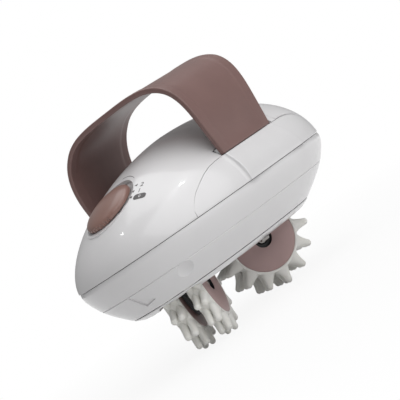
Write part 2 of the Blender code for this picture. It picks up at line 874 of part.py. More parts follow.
def tyre(name, low, parent):
    """A rubber ring with two rows of blunt teeth standing out of it."""
    high = low + roller_width
    middle = (low + high) / 2
    profile = [
        (tyre_inner_radius, low), (tyre_inner_radius, high),
        (tyre_inner_radius + tyre_rim_rise, high),
        (tyre_outer_radius, high - tyre_wall), (tyre_outer_radius, low + tyre_wall),
        (tyre_inner_radius + tyre_rim_rise, low),
    ]
    ring = turned(name, profile, "white_rubber", parent, steps=28)
    root = tyre_outer_radius - tooth_root_depth
    length = tooth_tip_radius - root

    def build(work):
        for row in (-1, 1):
            for tooth in range(teeth_per_row):
                made = bmesh.ops.create_cone(
                    work, cap_ends=True, segments=tooth_sides, radius1=1.0,
                    radius2=tooth_tip_share, depth=length)
                angle = -math.pi / 2 + math.tau * tooth / teeth_per_row
                stretch = Matrix.Diagonal((tooth_base_half_width, tooth_base_half_length, 1.0, 1.0))
                out = Matrix.Rotation(math.pi / 2, 4, "Y")
                place = (Matrix.Translation((0.0, 0.0, middle + row * tooth_row_offset))
                         @ Matrix.Rotation(angle, 4, "Z")
                         @ Matrix.Translation((root + length / 2, 0.0, 0.0)) @ out @ stretch)
                bmesh.ops.transform(work, verts=made["verts"], matrix=place)

    teeth = new_object(name + "_teeth_form", mesh_of(name + "_teeth", build), parent=parent)
    add(ring, teeth)
    return ring


def hub(name, low, parent):
    """The roller's core: a disc with a dished face round the screw recess."""
    high = low + roller_width
    bore = axle_radius + seat_gap
    near = high if low > 0.0 else low
    inward = -1.0 if low > 0.0 else 1.0
    far = low if low > 0.0 else high
    edge = hub_radius - hub_dish_rim
    profile = [
        (bore, far), (hub_radius, far), (hub_radius, near), (edge, near),
        (edge - hub_dish_depth, near + inward * hub_dish_depth),
        (hub_recess_radius, near + inward * hub_dish_depth),
        (hub_recess_radius, near + inward * (hub_dish_depth + hub_recess_depth)),
        (bore, near + inward * (hub_dish_depth + hub_recess_depth)),
    ]
    piece = turned(name, profile, "mauve_hub", parent)
    smooth(piece)
    return piece


def end_screw(name, side, parent):
    end = roller_outer - hub_dish_depth - hub_recess_depth
    seat = end + seat_gap
    crown = seat + screw_head_height
    tip = seat - screw_shank_length
    profile = [(0.0, side * crown)]
    for step in (1, 2):
        angle = step / 2 * math.pi / 2
        profile.append((screw_head_radius * math.sin(angle),
                        side * (seat + 0.3 * screw_head_height
                                + 0.7 * screw_head_height * math.cos(angle))))
    profile += [
        (screw_head_radius, side * seat),
        (screw_shank_radius, side * seat), (screw_shank_radius, side * tip), (0.0, side * tip)]
    piece = turned(name, profile, "steel", parent, steps=12)
    smooth(piece)
    return piece


def roller_axle(name, parent):
    end = roller_outer - hub_dish_depth - hub_recess_depth - seat_gap
    hole = screw_shank_radius + seat_gap
    depth = end - screw_shank_length - seat_gap
    profile = [
        (0.0, depth), (hole, depth), (hole, end), (axle_radius, end),
        (axle_radius, -end), (hole, -end), (hole, -depth), (0.0, -depth),
    ]
    return turned(name, profile, "steel", parent, steps=16)


def gearmotor(prefix, parent):
    """Gearhead, motor can and the strap that holds them on the chassis."""
    bore = output_shaft_radius + running_gap
    start = gearhead_start
    end = start + gearhead_length
    socket = start + shaft_socket_depth
    profile = [
        (0.0, end), (gearhead_radius, end), (gearhead_radius, start), (bore, start),
        (bore, socket), (0.0, socket),
    ]
    head = turned(prefix + "_gearhead", profile, "natural_acetal", parent)
    head.location = (0.0, pinion_rise, 0.0)
    smooth(head)
    first = motor_start
    last = first + motor_length
    profile = [
        (0.0, last + motor_boss_height), (motor_boss_radius, last + motor_boss_height),
        (motor_boss_radius, last), (motor_radius - motor_chamfer, last),
        (motor_radius, last - motor_chamfer), (motor_radius, first), (0.0, first),
    ]
    motor = turned(prefix + "_motor", profile, "motor_can", parent)
    motor.location = (0.0, pinion_rise, 0.0)
    smooth(motor)
    inner = motor_radius + seat_gap
    outer = strap_radius
    low = chassis_top_z + seat_gap - motor_z
    foot = low + strap_thickness
    outline = [(outer + strap_foot, low), (outer + strap_foot, foot), (outer, foot)]
    arc = 12
    outline += [(outer * math.cos(math.pi * k / arc), outer * math.sin(math.pi * k / arc))
                for k in range(arc + 1)]
    outline += [(-outer, foot), (-outer - strap_foot, foot), (-outer - strap_foot, low), (-inner, low)]
    outline += [(inner * math.cos(math.pi * k / arc), inner * math.sin(math.pi * k / arc))
                for k in range(arc, -1, -1)]
    outline += [(inner, low)]
    middle = motor_start + motor_length - strap_inset
    strap = flat_piece(prefix + "_motor_strap", [outline], middle - strap_width / 2,
                       middle + strap_width / 2, "black_nylon", parent)
    strap.location = (0.0, pinion_rise, 0.0)


def drive_pinion(prefix, parent):
    gear(prefix + "_pinion", pinion_teeth, -math.pi / 2,
         output_shaft_radius + gear_bore_gap, pinion_rise, "natural_acetal", parent)
    shaft = cylinder(prefix + "_output_shaft", output_shaft_radius, -gear_half_thickness,
                     gearhead_start + shaft_socket_depth - seat_gap, "steel", parent, sides=16)
    shaft.location = (0.0, pinion_rise, 0.0)


def drive_unit(prefix, side):
    """A roller pair with its gearbox and gearmotor, on one turned frame."""
    frame = bpy.data.objects.new(prefix + "_axle_frame", None)
    bpy.context.scene.collection.objects.link(frame)
    frame.location = (pair_centre(side), 0.0, axle_z)
    frame.rotation_euler = (math.pi / 2, 0.0, -side * roller_yaw)
    for label, low, facing in (("near", roller_inner, 1), ("far", -roller_outer, -1)):
        hub("%s_hub_%s" % (prefix, label), low, frame)
        tyre("%s_tyre_%s" % (prefix, label), low, frame)
        end_screw("%s_axle_screw_%s" % (prefix, label), facing, frame)
        gearbox_shell("%s_gearbox_%s" % (prefix, label), facing, frame)
    roller_axle(prefix + "_axle", frame)
    gear(prefix + "_axle_gear", axle_gear_teeth, math.pi / 2,
         axle_radius + gear_bore_gap, 0.0, "natural_acetal", frame)
    gear(prefix + "_idler_gear", idler_teeth, math.pi / 2 + math.pi / idler_teeth,
         idler_pin_radius + gear_bore_gap, idler_rise, "natural_acetal", frame)
    pin = cylinder(prefix + "_idler_pin", idler_pin_radius, -gearbox_half,
                   gearbox_half, "steel", frame, sides=12)
    pin.location = (0.0, idler_rise, 0.0)
    drive_pinion(prefix, frame)
    gearmotor(prefix, frame)


def power_supply():
    pitch = 2 * cell_radius + seat_gap
    floor_top = chassis_top_z + seat_gap + tray_floor
    cell_z = floor_top + seat_gap + cell_radius
    half = cell_half_length + cell_nub_height
    for number in range(1, cell_count + 1):
        profile = [
            (0.0, cell_half_length + cell_nub_height),
            (cell_nub_radius, cell_half_length + cell_nub_height),
            (cell_nub_radius, cell_half_length), (cell_radius, cell_half_length),
            (cell_radius, -cell_half_length), (0.0, -cell_half_length),
        ]
        cell = turned("battery_cell_%d" % number, profile, "cell_sleeve", steps=16)
        turn = 1 if number % 2 else -1
        cell.rotation_euler = (turn * math.pi / 2, 0.0, 0.0)
        cell.location = (first_cell_x + (number - 1) * pitch, 0.0, cell_z)
        smooth(cell)
    low_x = first_cell_x - cell_radius / 2
    high_x = first_cell_x + (cell_count - 1) * pitch + cell_radius / 2
    contact_low = half + seat_gap
    contact_high = contact_low + contact_thickness
    wall_low = contact_high + seat_gap
    wall_high = wall_low + tray_wall
    low_z = chassis_top_z + seat_gap
    tray = box("battery_tray", (low_x, -wall_high, low_z), (high_x, wall_high, floor_top), "black_nylon")
    for side in (-1, 1):
        spread = sorted((side * wall_low, side * wall_high))
        wall = box("tray_wall_form", (low_x, spread[0], low_z), (high_x, spread[1], floor_top + tray_wall_height))
        add(tray, wall)
        plate = sorted((side * contact_low, side * contact_high))
        label = "left" if side < 0 else "right"
        box("battery_contact_" + label, (low_x, plate[0], floor_top + seat_gap),
            (high_x, plate[1], floor_top + seat_gap + contact_height), "nickel")
    board_low = chassis_top_z + seat_gap
    box("control_board", (board_x - board_length / 2, -board_width / 2, board_low),
        (board_x + board_length / 2, board_width / 2, board_low + board_thickness), "board_green")


clear_scene()
parts = new_collection("body_massager")
tools = new_collection("cutters")
front_cover()
rear_cover()
battery_door()
lower_shell()
bottom_plate()
chassis()
case_screws()
handle_band()
switch_knob()
switch_body()
drive_unit("front", -1)
drive_unit("rear", 1)
power_supply()
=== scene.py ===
import bpy
import math
from mathutils import Matrix, Vector


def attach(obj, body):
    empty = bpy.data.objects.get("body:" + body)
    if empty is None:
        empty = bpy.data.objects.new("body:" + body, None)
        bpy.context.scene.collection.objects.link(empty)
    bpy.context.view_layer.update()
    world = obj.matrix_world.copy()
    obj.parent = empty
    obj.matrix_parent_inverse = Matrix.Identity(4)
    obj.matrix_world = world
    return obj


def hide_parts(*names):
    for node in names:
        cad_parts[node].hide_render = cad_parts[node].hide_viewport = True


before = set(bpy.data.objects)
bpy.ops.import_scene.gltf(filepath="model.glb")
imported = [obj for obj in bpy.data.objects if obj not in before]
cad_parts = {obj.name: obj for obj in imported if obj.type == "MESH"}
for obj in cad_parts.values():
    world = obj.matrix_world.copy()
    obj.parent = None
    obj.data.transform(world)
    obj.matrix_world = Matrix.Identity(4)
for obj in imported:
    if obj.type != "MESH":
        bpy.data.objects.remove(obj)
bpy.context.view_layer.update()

mm = 0.001
print("frame loaded:", len(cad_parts), "solids")

# Lengths in the dictionaries are in mm, angles in degrees; the studio and the view are in metres
# The egg of the casing in plan and its dome
casing = {
    "crownX": 8.0, "noseReach": 95.5, "tailReach": 79.5, "halfWidth": 59.0,
    "planPower": 2.36, "sidePower": 1.7, "tailPower": 2.3, "domeHeight": 45.3,
    "partingZ": 58.8, "wall": 2.2, "gap": 0.3, "edgeRound": 0.35, "archReach": 1.6,
}
crownX, partingZ, gap = casing["crownX"], casing["partingZ"], casing["gap"]
# Where the covers meet: side seam, foot line, door line
seams = {
    "footX": -58.0, "footRise": 18.6, "legFrontX": -19.0, "doorX": 34.5,
    "bend": ((0.0, 0.0), (0.018, 0.185), (0.05, 0.28), (0.095, 0.37), (0.16, 0.485), (0.238, 0.593),
             (0.40, 0.746), (0.54, 0.86), (0.685, 0.945), (0.84, 0.985), (1.0, 1.0)),
    "tailX": 66.0, "tailRise": 3.2, "tailPower": 2.2,
}


def deselectAll():
    if bpy.context.mode != "OBJECT":
        bpy.ops.object.mode_set(mode="OBJECT")
    bpy.ops.object.select_all(action="DESELECT")


def pick(piece):
    deselectAll()
    piece.select_set(True)
    bpy.context.view_layer.objects.active = piece


def named(name):
    piece = bpy.context.active_object
    piece.name = name
    piece.data.name = name
    return piece


def add(name, make, **settings):
    # a new object, alone, chosen and active
    deselectAll()
    make(**settings)
    return named(name)


def applyAll(piece):
    pick(piece)
    for step in list(piece.modifiers):
        bpy.ops.object.modifier_apply(modifier=step.name)
    return piece


def edit(piece, *steps):
    # runs each step on the whole mesh in edit mode
    pick(piece)
    bpy.ops.object.mode_set(mode="EDIT")
    for step in steps:
        bpy.ops.mesh.select_all(action="SELECT")
        step()
    bpy.ops.object.mode_set(mode="OBJECT")
    return piece


def faceOutward():
    bpy.ops.mesh.normals_make_consistent(inside=False)


def fillRims():
    bpy.ops.mesh.select_all(action="DESELECT")
    bpy.ops.mesh.select_non_manifold()
    bpy.ops.mesh.edge_face_add()


def raiseBy(height):
    # an edit step that extrudes the mesh upwards
    return lambda: bpy.ops.mesh.extrude_region_move(TRANSFORM_OT_translate={"value": (0, 0, height)})


def roundEdges(width, segments):
    # an edit step that rounds every chosen edge
    return lambda: bpy.ops.mesh.bevel(offset=width * mm, segments=segments, affect="EDGES")


def closeEnds(piece):
    return edit(piece, fillRims, faceOutward)


def tidyMesh(piece, weld=0.004, outward=True):
    steps = [lambda: bpy.ops.mesh.remove_doubles(threshold=weld * mm)]
    if outward:
        steps.append(faceOutward)
    return edit(piece, *steps)


def carve(piece, *cutters):
    # takes the cutters' shapes out of the piece and removes them
    for cutter in cutters:
        dig = piece.modifiers.new("cut", "BOOLEAN")
        dig.operation = "DIFFERENCE"
        dig.solver = "EXACT"
        dig.object = cutter
    applyAll(piece)
    for cutter in cutters:
        bpy.data.objects.remove(cutter)
    return piece


def layCube(name, matrix):
    # a unit cube, stretched and placed by a matrix
    return moveBy(add(name, bpy.ops.mesh.primitive_cube_add, size=1), matrix)


def roundRims(piece, width, segments, degrees):
    rim = piece.modifiers.new("rim", "BEVEL")
    rim.width = width * mm
    rim.segments = segments
    rim.limit_method = "ANGLE"
    rim.angle_limit = math.radians(degrees)
    return applyAll(piece)


def smoothBy(piece, degrees):
    pick(piece)
    bpy.ops.object.shade_smooth_by_angle(angle=math.radians(degrees))
    return piece


def joinAll(name, *pieces):
    deselectAll()
    for piece in pieces:
        piece.select_set(True)
    bpy.context.view_layer.objects.active = pieces[0]
    bpy.ops.object.join()
    return named(name)


def moveBy(piece, matrix):
    piece.data.transform(matrix)
    return piece


def shift(x, y, z):
    return Matrix.Translation((x * mm, y * mm, z * mm))


def turnBy(degrees, axis="Z"):
    return Matrix.Rotation(math.radians(degrees), 4, axis)


def stretch(x, y, z):
    return Matrix.Diagonal((x * mm, y * mm, z * mm, 1))


def mapGrid(name, across, along, place, unit=mm):
    # a flat grid whose points are laid where place(i, j) says
    piece = add(name, bpy.ops.mesh.primitive_grid_add, size=2, x_subdivisions=across,
                y_subdivisions=along)
    for point in piece.data.vertices:
        i = round((point.co.x + 1) / 2 * across)
        j = round((point.co.y + 1) / 2 * along)
        point.co = Vector(place(i, j)) * unit
    return piece


def turnProfile(name, profile, steps, matrix=None, weld=0.002):
    # a half section in (radius, height) mm, drawn point by point and spun round Z
    piece = add(name, bpy.ops.mesh.primitive_plane_add, size=mm)
    bpy.ops.object.mode_set(mode="EDIT")
    bpy.ops.mesh.select_mode(type="VERT")
    bpy.ops.mesh.select_all(action="SELECT")
    bpy.ops.mesh.merge(type="CENTER")
    bpy.ops.transform.translate(value=(profile[0][0] * mm, 0, profile[0][1] * mm))
    for before, after in zip(profile, profile[1:]):
        bpy.ops.mesh.extrude_vertices_move(TRANSFORM_OT_translate={
            "value": ((after[0] - before[0]) * mm, 0, (after[1] - before[1]) * mm)})
    bpy.ops.mesh.select_all(action="SELECT")
    bpy.ops.mesh.spin(steps=steps, angle=math.tau, center=(0, 0, 0), axis=(0, 0, 1))
    bpy.ops.mesh.select_all(action="SELECT")
    bpy.ops.mesh.remove_doubles(threshold=weld * mm)
    bpy.ops.mesh.normals_make_consistent(inside=False)
    bpy.ops.object.mode_set(mode="OBJECT")
    if matrix is not None:
        moveBy(piece, matrix)
    return piece


def copyOf(piece, name, matrix):
    twin = piece.copy()
    twin.data = piece.data.copy()
    bpy.context.scene.collection.objects.link(twin)
    twin.name = name
    twin.data.transform(matrix)
    return twin


def dress(piece, material, body, *nodes, slot=None, second=None):
    shares = [face.material_index for face in piece.data.polygons]
    piece.data.materials.clear()
    piece.data.materials.append(material)
    if second:
        piece.data.materials.append(second)
        piece.data.polygons.foreach_set("material_index", shares)
    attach(piece, body)
    if nodes:
        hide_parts(*nodes)
    return piece


def dressShell(piece, node, body="casing"):
    dress(piece, surface["shellWhite"], body, node, slot="white_shell")
    print(node, "shell:", len(piece.data.polygons), "faces")


# each finish: colour, deeper tone, roughness, grain, relief in mm, slow mottle, coat, metal
finishKeys = ("colour", "deep", "rough", "grain", "relief", "mottle", "coat", "metal")
finishRows = {
    "shellWhite": ((0.735, 0.728, 0.735), (0.715, 0.706, 0.714), 0.34, 900, 0.003, 30, 0.5, 0.0),
    "bandMauve": ((0.205, 0.120, 0.109), (0.186, 0.108, 0.098), 0.40, 2600, 0.012, 40, 0.0, 0.0),
    "knobMauve": ((0.270, 0.152, 0.125), (0.240, 0.135, 0.112), 0.32, 2400, 0.008, 60, 0.2, 0.0),
    "hubMauve": ((0.425, 0.290, 0.280), (0.395, 0.270, 0.261), 0.44, 1800, 0.010, 60, 0.0, 0.0),
    "toothRubber": ((0.88, 0.87, 0.83), (0.83, 0.82, 0.78), 0.42, 1500, 0.015, 120, 0.0, 0.0),
    "blackNylon": ((0.018, 0.018, 0.02), (0.012, 0.012, 0.014), 0.45, 1600, 0.02, 70, 0.0, 0.0),
    "gearAcetal": ((0.62, 0.60, 0.53), (0.55, 0.52, 0.45), 0.36, 1300, 0.008, 90, 0.0, 0.0),
    "boardGreen": ((0.012, 0.12, 0.045), (0.008, 0.08, 0.03), 0.4, 700, 0.03, 300, 0.3, 0.0),
    "cellSleeve": ((0.03, 0.05, 0.09), (0.02, 0.035, 0.07), 0.3, 700, 0.006, 50, 0.3, 0.0),
    "printGrey": ((0.10, 0.095, 0.095), (0.08, 0.076, 0.076), 0.5, 3000, 0.01, 200, 0.0, 0.0),
    "axleSteel": ((0.56, 0.56, 0.57), (0.46, 0.46, 0.47), 0.25, 2400, 0.01, 90, 0.0, 1.0),
    # painted shade: this steel is darkened so the screws in the roller recesses read dark
    "screwSteel": ((0.27, 0.26, 0.25), (0.20, 0.19, 0.18), 0.15, 2600, 0.006, 120, 0.0, 1.0),
    "motorCan": ((0.50, 0.51, 0.52), (0.42, 0.42, 0.43), 0.32, 1800, 0.012, 70, 0.0, 1.0),
    "contactNickel": ((0.62, 0.58, 0.50), (0.52, 0.48, 0.41), 0.28, 1800, 0.012, 90, 0.0, 1.0),
}
finishes = {name: dict(zip(finishKeys, row)) for name, row in finishRows.items()}
# what all finishes share
common = {
    "coatRough": 0.07, "driftDetail": 3, "driftLow": 0.3, "driftHigh": 0.62, "grainDetail": 2,
    "glossLow": 0.9, "glossHigh": 1.12, "reliefStrength": 0.6,
}


def setInputs(node, values):
    for socket, value in values.items():
        node.inputs[socket].default_value = value
    return node


def addNode(tree, kind, values=None):
    return setInputs(tree.nodes.new("ShaderNode" + kind), values or {})


def wire(tree, *wires):
    # each wire: node, output, node, input
    for source, output, target, socket in wires:
        tree.links.new(source.outputs[output], target.inputs[socket])


def newMaterial(name):
    material = bpy.data.materials.new(name)
    material.use_nodes = True
    return material, material.node_tree


def makeFinish(name):
    values = finishes[name]
    material, tree = newMaterial(name)
    shader = setInputs(tree.nodes["Principled BSDF"], {
        "Metallic": values["metal"], "Coat Weight": values["coat"],
        "Coat Roughness": common["coatRough"]})
    where = addNode(tree, "TexCoord")
    # slow drift of tone over the moulding
    drift = addNode(tree, "TexNoise", {"Scale": values["mottle"], "Detail": common["driftDetail"]})
    tone = addNode(tree, "Mix")
    tone.data_type = "RGBA"
    setInputs(tone, {"A": (*values["deep"], 1), "B": (*values["colour"], 1)})
    spread = addNode(tree, "MapRange", {"From Min": common["driftLow"], "From Max": common["driftHigh"]})
    # fine grain of the tool's surface, in the gloss and in the relief
    grain = addNode(tree, "TexNoise", {"Scale": values["grain"], "Detail": common["grainDetail"]})
    gloss = addNode(tree, "MapRange", {"To Min": values["rough"] * common["glossLow"],
                                       "To Max": values["rough"] * common["glossHigh"]})
    relief = addNode(tree, "Bump", {"Strength": common["reliefStrength"],
                                    "Distance": values["relief"] * mm})
    wire(tree, (where, "Object", drift, "Vector"), (drift, "Fac", spread, "Value"),
         (spread, "Result", tone, "Factor"), (tone, "Result", shader, "Base Color"),
         (where, "Object", grain, "Vector"), (grain, "Fac", gloss, "Value"),
         (gloss, "Result", shader, "Roughness"), (grain, "Fac", relief, "Height"),
         (relief, "Normal", shader, "Normal"))
    return material


surface = {name: makeFinish(name) for name in finishes}

ridges = {"pitch": 5.0, "depth": 0.012, "bandsPerScale": 20, "distortion": 0.4, "strength": 0.5}


def addRidges(material):
    # faint lengthwise ridges on the strap of the loop
    tree = material.node_tree
    where = next(node for node in tree.nodes if node.type == "TEX_COORD")
    grain = next(node for node in tree.nodes if node.type == "BUMP")
    scale = math.tau / (ridges["pitch"] * mm) / ridges["bandsPerScale"]
    wave = addNode(tree, "TexWave", {"Scale": scale, "Distortion": ridges["distortion"]})
    wave.bands_direction = "X"
    ridge = addNode(tree, "Bump", {"Strength": ridges["strength"], "Distance": ridges["depth"] * mm})
    wire(tree, (where, "Object", wave, "Vector"), (wave, "Fac", ridge, "Height"),
         (grain, "Normal", ridge, "Normal"), (ridge, "Normal", tree.nodes["Principled BSDF"], "Normal"))


addRidges(surface["bandMauve"])
setInputs(surface["toothRubber"].node_tree.nodes["Principled BSDF"], {
    "Subsurface Weight": 0.12, "Subsurface Radius": (0.002, 0.0019, 0.0017), "Subsurface Scale": 1.0})
print("finishes made:", len(surface))


halvings = 40


def lastChange(low, high, test):
    # the place between low, where test is False, and high, where it is True, at which it turns
    for turn in range(halvings):
        middle = (low + high) / 2
        if test(middle):
            high = middle
        else:
            low = middle
    return high


def domePower(lean):
    # the power of the dome's section, from its sides (lean 0) to the tail (lean 1)
    return casing["sidePower"] + (casing["tailPower"] - casing["sidePower"]) * lean * lean


def domeTerms(x, y):
    # how far out a point of the plan lies (1 at the rim), and the dome's power there
    reach = casing["tailReach"] if x > crownX else casing["noseReach"]
    u = (x - crownX) / reach
    v = abs(y) / casing["halfWidth"]
    power = casing["planPower"]
    r = (abs(u) ** power + v ** power) ** (1 / power)
    return r, domePower(max(u / r, 0.0) if r > 0 else 0.0)


def domeRise(x, y):
    # height of the dome over the parting line at a point of the plan
    r, p = domeTerms(x, y)
    return casing["domeHeight"] * (1 - r ** p) ** (1 / p) if r < 1 else 0.0


def domeExcess(x, y, h):
    # below zero inside the dome, above zero outside it
    r, p = domeTerms(x, y)
    return r ** p + (max(h, 0.0) / casing["domeHeight"]) ** p - 1


def domeHalfWidth(x, h):
    # how far out the dome's side is at this height
    if domeExcess(x, 0.0, h) >= 0:
        return 0.0
    return lastChange(0.0, casing["halfWidth"], lambda y: domeExcess(x, y, h) >= 0)


def planHalfWidth(x):
    reach = casing["tailReach"] if x > crownX else casing["noseReach"]
    u = min(abs(x - crownX) / reach, 1.0)
    return casing["halfWidth"] * (1 - u ** casing["planPower"]) ** (1 / casing["planPower"])


def archPoint(x, turn):
    # a point of the arch across the dome at x; turn runs from 0 at +Y to pi at -Y
    wide, tall = planHalfWidth(x) * math.cos(turn), domeRise(x, 0.0) * math.sin(turn)
    share = lastChange(0.0, casing["archReach"], lambda k: domeExcess(x, k * wide, k * tall) >= 0)
    return share * wide, share * tall


def seamRise(x):
    # height of the seam between the front and rear covers at x
    across = (x - seams["footX"]) / (seams["legFrontX"] - seams["footX"])
    if across <= 0:
        return 0.0
    if across >= 1:
        # level past the loop's foot, then down round the tail
        back = min(max((x - seams["doorX"]) / (seams["tailX"] - seams["doorX"]), 0.0), 1.0)
        drop = 1 - (1 - back ** seams["tailPower"]) ** (1 / seams["tailPower"])
        return seams["footRise"] - (seams["footRise"] - seams["tailRise"]) * drop
    for (a0, u0), (a1, u1) in zip(seams["bend"], seams["bend"][1:]):
        if across <= a1:
            return seams["footRise"] * (u0 + (u1 - u0) * (across - a0) / (a1 - a0))
    return seams["footRise"]


def eggShares(angle):
    # the egg's shares along X and Y for an angle of the plan
    return tuple(math.copysign(abs(part) ** (2 / casing["planPower"]), part)
                 for part in (math.cos(angle), math.sin(angle)))


def eggPoint(angle, nose, tail, half):
    # a point of an egg with these reaches to the nose, to the tail and to the side
    u, v = eggShares(angle)
    return crownX + (tail if u > 0 else nose) * u, half * v


def planPoint(angle, share=1.0):
    # a point of the casing's egg; share pulls it in towards the crown
    return eggPoint(angle, *(casing[key] * share for key in ("noseReach", "tailReach", "halfWidth")))


def meridianPoint(angle, lift):
    # up the dome from its rim (lift 0) to its crown (lift 1) on one line of the plan
    p = domePower(max(eggShares(angle)[0], 0.0))
    out = math.cos(lift * math.pi / 2) ** (2 / p)
    rise = casing["domeHeight"] * math.sin(lift * math.pi / 2) ** (2 / p)
    x, y = planPoint(angle, out)
    return x, y, rise


def addWall(piece, thickness, even=True, offset=-1):
    wall = piece.modifiers.new("wall", "SOLIDIFY")
    wall.thickness = thickness * mm
    wall.offset = offset
    wall.use_even_offset = even
    return applyAll(piece)


def finishShell(piece):
    # gives an open skin its wall and rounded rims
    addWall(tidyMesh(piece), casing["wall"])
    roundRims(piece, casing["edgeRound"], 3, 50)
    return smoothBy(piece, 45)


frontCover = {
    "sections": 120, "arch": 96, "footRoomY": 45.5, "footRoomFront": -19.6, "footRoomRear": 29.5,
    "recessRadius": 18.0, "recessDepth": 2.2, "recessTop": 12.0, "recessSteps": 128,
    "seatRadius": 17.95, "seatBore": 3.3, "seatLow": 4.8, "seatChamfer": 0.95, "seatLip": 0.05,
    "seatSteps": 96, "sliver": 0.01, "spacing": 0.25, "tipMargin": 1.001,
}
knob = {
    "centre": (-57.5, 0.0, 87.973), "tilt": 22.0, "radius": 15.2, "base": -1.9, "rim": -0.6,
    "crown": 3.5, "stemRadius": 3.0, "stemLength": 6.4, "edge": 0.3, "domeSteps": 14,
    "turnSteps": 128, "grooves": 7, "groovePitch": 10.0, "grooveRadius": 0.9, "grooveOut": 0.1,
    "grooveLow": -4.0, "grooveTop": 3.0, "grooveTip": 3.9,
}
knobFrame = Matrix.Translation(Vector(knob["centre"]) * mm) @ turnBy(-knob["tilt"], "Y")


def frontAllowed(x, y, h):
    if h < gap or h < seamRise(x):
        return False
    inRoom = frontCover["footRoomFront"] < x < frontCover["footRoomRear"]
    return not (inRoom and abs(y) > frontCover["footRoomY"])


def frontSections():
    tip = lastChange(crownX - casing["noseReach"], crownX, lambda x: domeRise(x, 0.0) > gap)
    marks = [tip, seams["footX"], seams["legFrontX"], seams["doorX"]]
    for edge in (frontCover["footRoomFront"], frontCover["footRoomRear"]):
        marks += [edge - frontCover["sliver"], edge + frontCover["sliver"]]
    for across, up in seams["bend"][1:-1]:
        marks.append(seams["footX"] + (seams["legFrontX"] - seams["footX"]) * across)
    spots = list(marks)
    count = frontCover["sections"] - len(marks)
    for step in range(1, count + 1):
        # closer together towards the tip of the nose
        x = tip + (seams["doorX"] - tip) * (1 - math.cos(step / (count + 1) * math.pi / 2))
        if min(abs(x - mark) for mark in marks) > frontCover["spacing"]:
            spots.append(x)
    return sorted(spots)


def frontStart(x):
    # the turn at which the arch at x leaves the seam
    if domeRise(x, 0.0) <= gap * frontCover["tipMargin"]:
        return math.pi / 2
    return lastChange(0.0, math.pi / 2, lambda turn: frontAllowed(x, *archPoint(x, turn)))


frontSpots = frontSections()
frontLow = [frontStart(x) for x in frontSpots]


def frontPlace(i, j):
    x, low = frontSpots[i], frontLow[i]
    turn = low + (math.pi - 2 * low) * j / frontCover["arch"]
    y, h = archPoint(x, turn)
    return x, y, partingZ + h


cover = mapGrid("front_cover_skin", len(frontSpots) - 1, frontCover["arch"], frontPlace)
finishShell(cover)
# the round recess that the knob sits in
radius, floor, top = frontCover["recessRadius"], -frontCover["recessDepth"], frontCover["recessTop"]
carve(cover, turnProfile("knob_recess", [
    (0, floor), (radius, floor), (radius, top), (0, top)], frontCover["recessSteps"], knobFrame))
smoothBy(cover, 40)
# and the floor of the recess, with a bore for the knob's stem
radius, bore, low = frontCover["seatRadius"], frontCover["seatBore"], -frontCover["seatLow"]
seat = turnProfile("knob_seat", [
    (bore, low), (radius, low), (radius, floor - frontCover["seatLip"]),
    (radius - frontCover["seatChamfer"], floor), (bore, floor), (bore, low)],
    frontCover["seatSteps"], knobFrame)
smoothBy(seat, 40)
dressShell(joinAll("front_cover_shell", cover, seat), "front_cover")

rearCover = {
    "columns": 168, "rows": 20, "legSteps": 34, "liftBelow": -0.001, "rimLiftMost": 0.6, "liftMost": 0.9,
}


def rimLift(angle, least=0.0):
    # lift at which the line leaves the parting line's gap
    return lastChange(least, rearCover["rimLiftMost"],
                      lambda lift: meridianPoint(angle, max(lift, 0.0))[2] > gap)


def rearTop(angle):
    # lift at which the line meets the seam or the foot line
    def above(lift):
        x, y, h = meridianPoint(angle, lift)
        return h > seamRise(x + gap) - gap
    low = rimLift(angle, rearCover["liftBelow"])
    return low if above(low) else lastChange(low, rearCover["liftMost"], above)


# from the seam's foot on the left side, round the tail, to the seam's foot on the right
footAngle = lastChange(math.pi / 2, math.pi,
                       lambda angle: planPoint(angle)[0] < seams["footX"] + gap)
legAngle = lastChange(math.pi / 2, footAngle, lambda angle: meridianPoint(
    angle, rearTop(angle))[0] < seams["legFrontX"] + gap)
legSteps = rearCover["legSteps"]
middleSteps = rearCover["columns"] - 2 * legSteps
legShares = [step / legSteps for step in range(legSteps + 1)]
rearAngles = [footAngle + (legAngle - footAngle) * share for share in legShares[:-1]]
rearAngles += [legAngle - 2 * legAngle * step / middleSteps for step in range(middleSteps + 1)]
rearAngles += [-legAngle - (footAngle - legAngle) * share for share in legShares[1:]]
rearSpan = [(rimLift(abs(angle)), rearTop(abs(angle))) for angle in rearAngles]


def rearPlace(i, j):
    low, high = rearSpan[i]
    x, y, h = meridianPoint(abs(rearAngles[i]), low + (high - low) * j / rearCover["rows"])
    return x, math.copysign(y, rearAngles[i]), partingZ + h


skin = mapGrid("rear_cover_skin", len(rearAngles) - 1, rearCover["rows"], rearPlace)
finishShell(skin)

pedestal = {
    "noseX": -19.0, "tailX": 26.0, "noseFlare": 3.0, "tailFlare": 5.0, "panelY": 52.0, "bulge": 0.5,
    "edge": 0.9, "edgeSteps": 4, "sweep": 3.2, "tipSink": 0.25, "bendOut": 0.25, "bendRise": 0.1,
    "levels": 18, "panelSteps": 14, "flankSteps": 7, "smooth": 32,
    "backWall": 2.4, "innerTop": 45.8, "stepFrom": 0.15, "stepOver": 0.57,
    "lip": {"noseIn": 0.4, "longer": 2.7, "low": 13.6, "top": 22.8, "thickness": 2.4, "edge": 0.5},
}


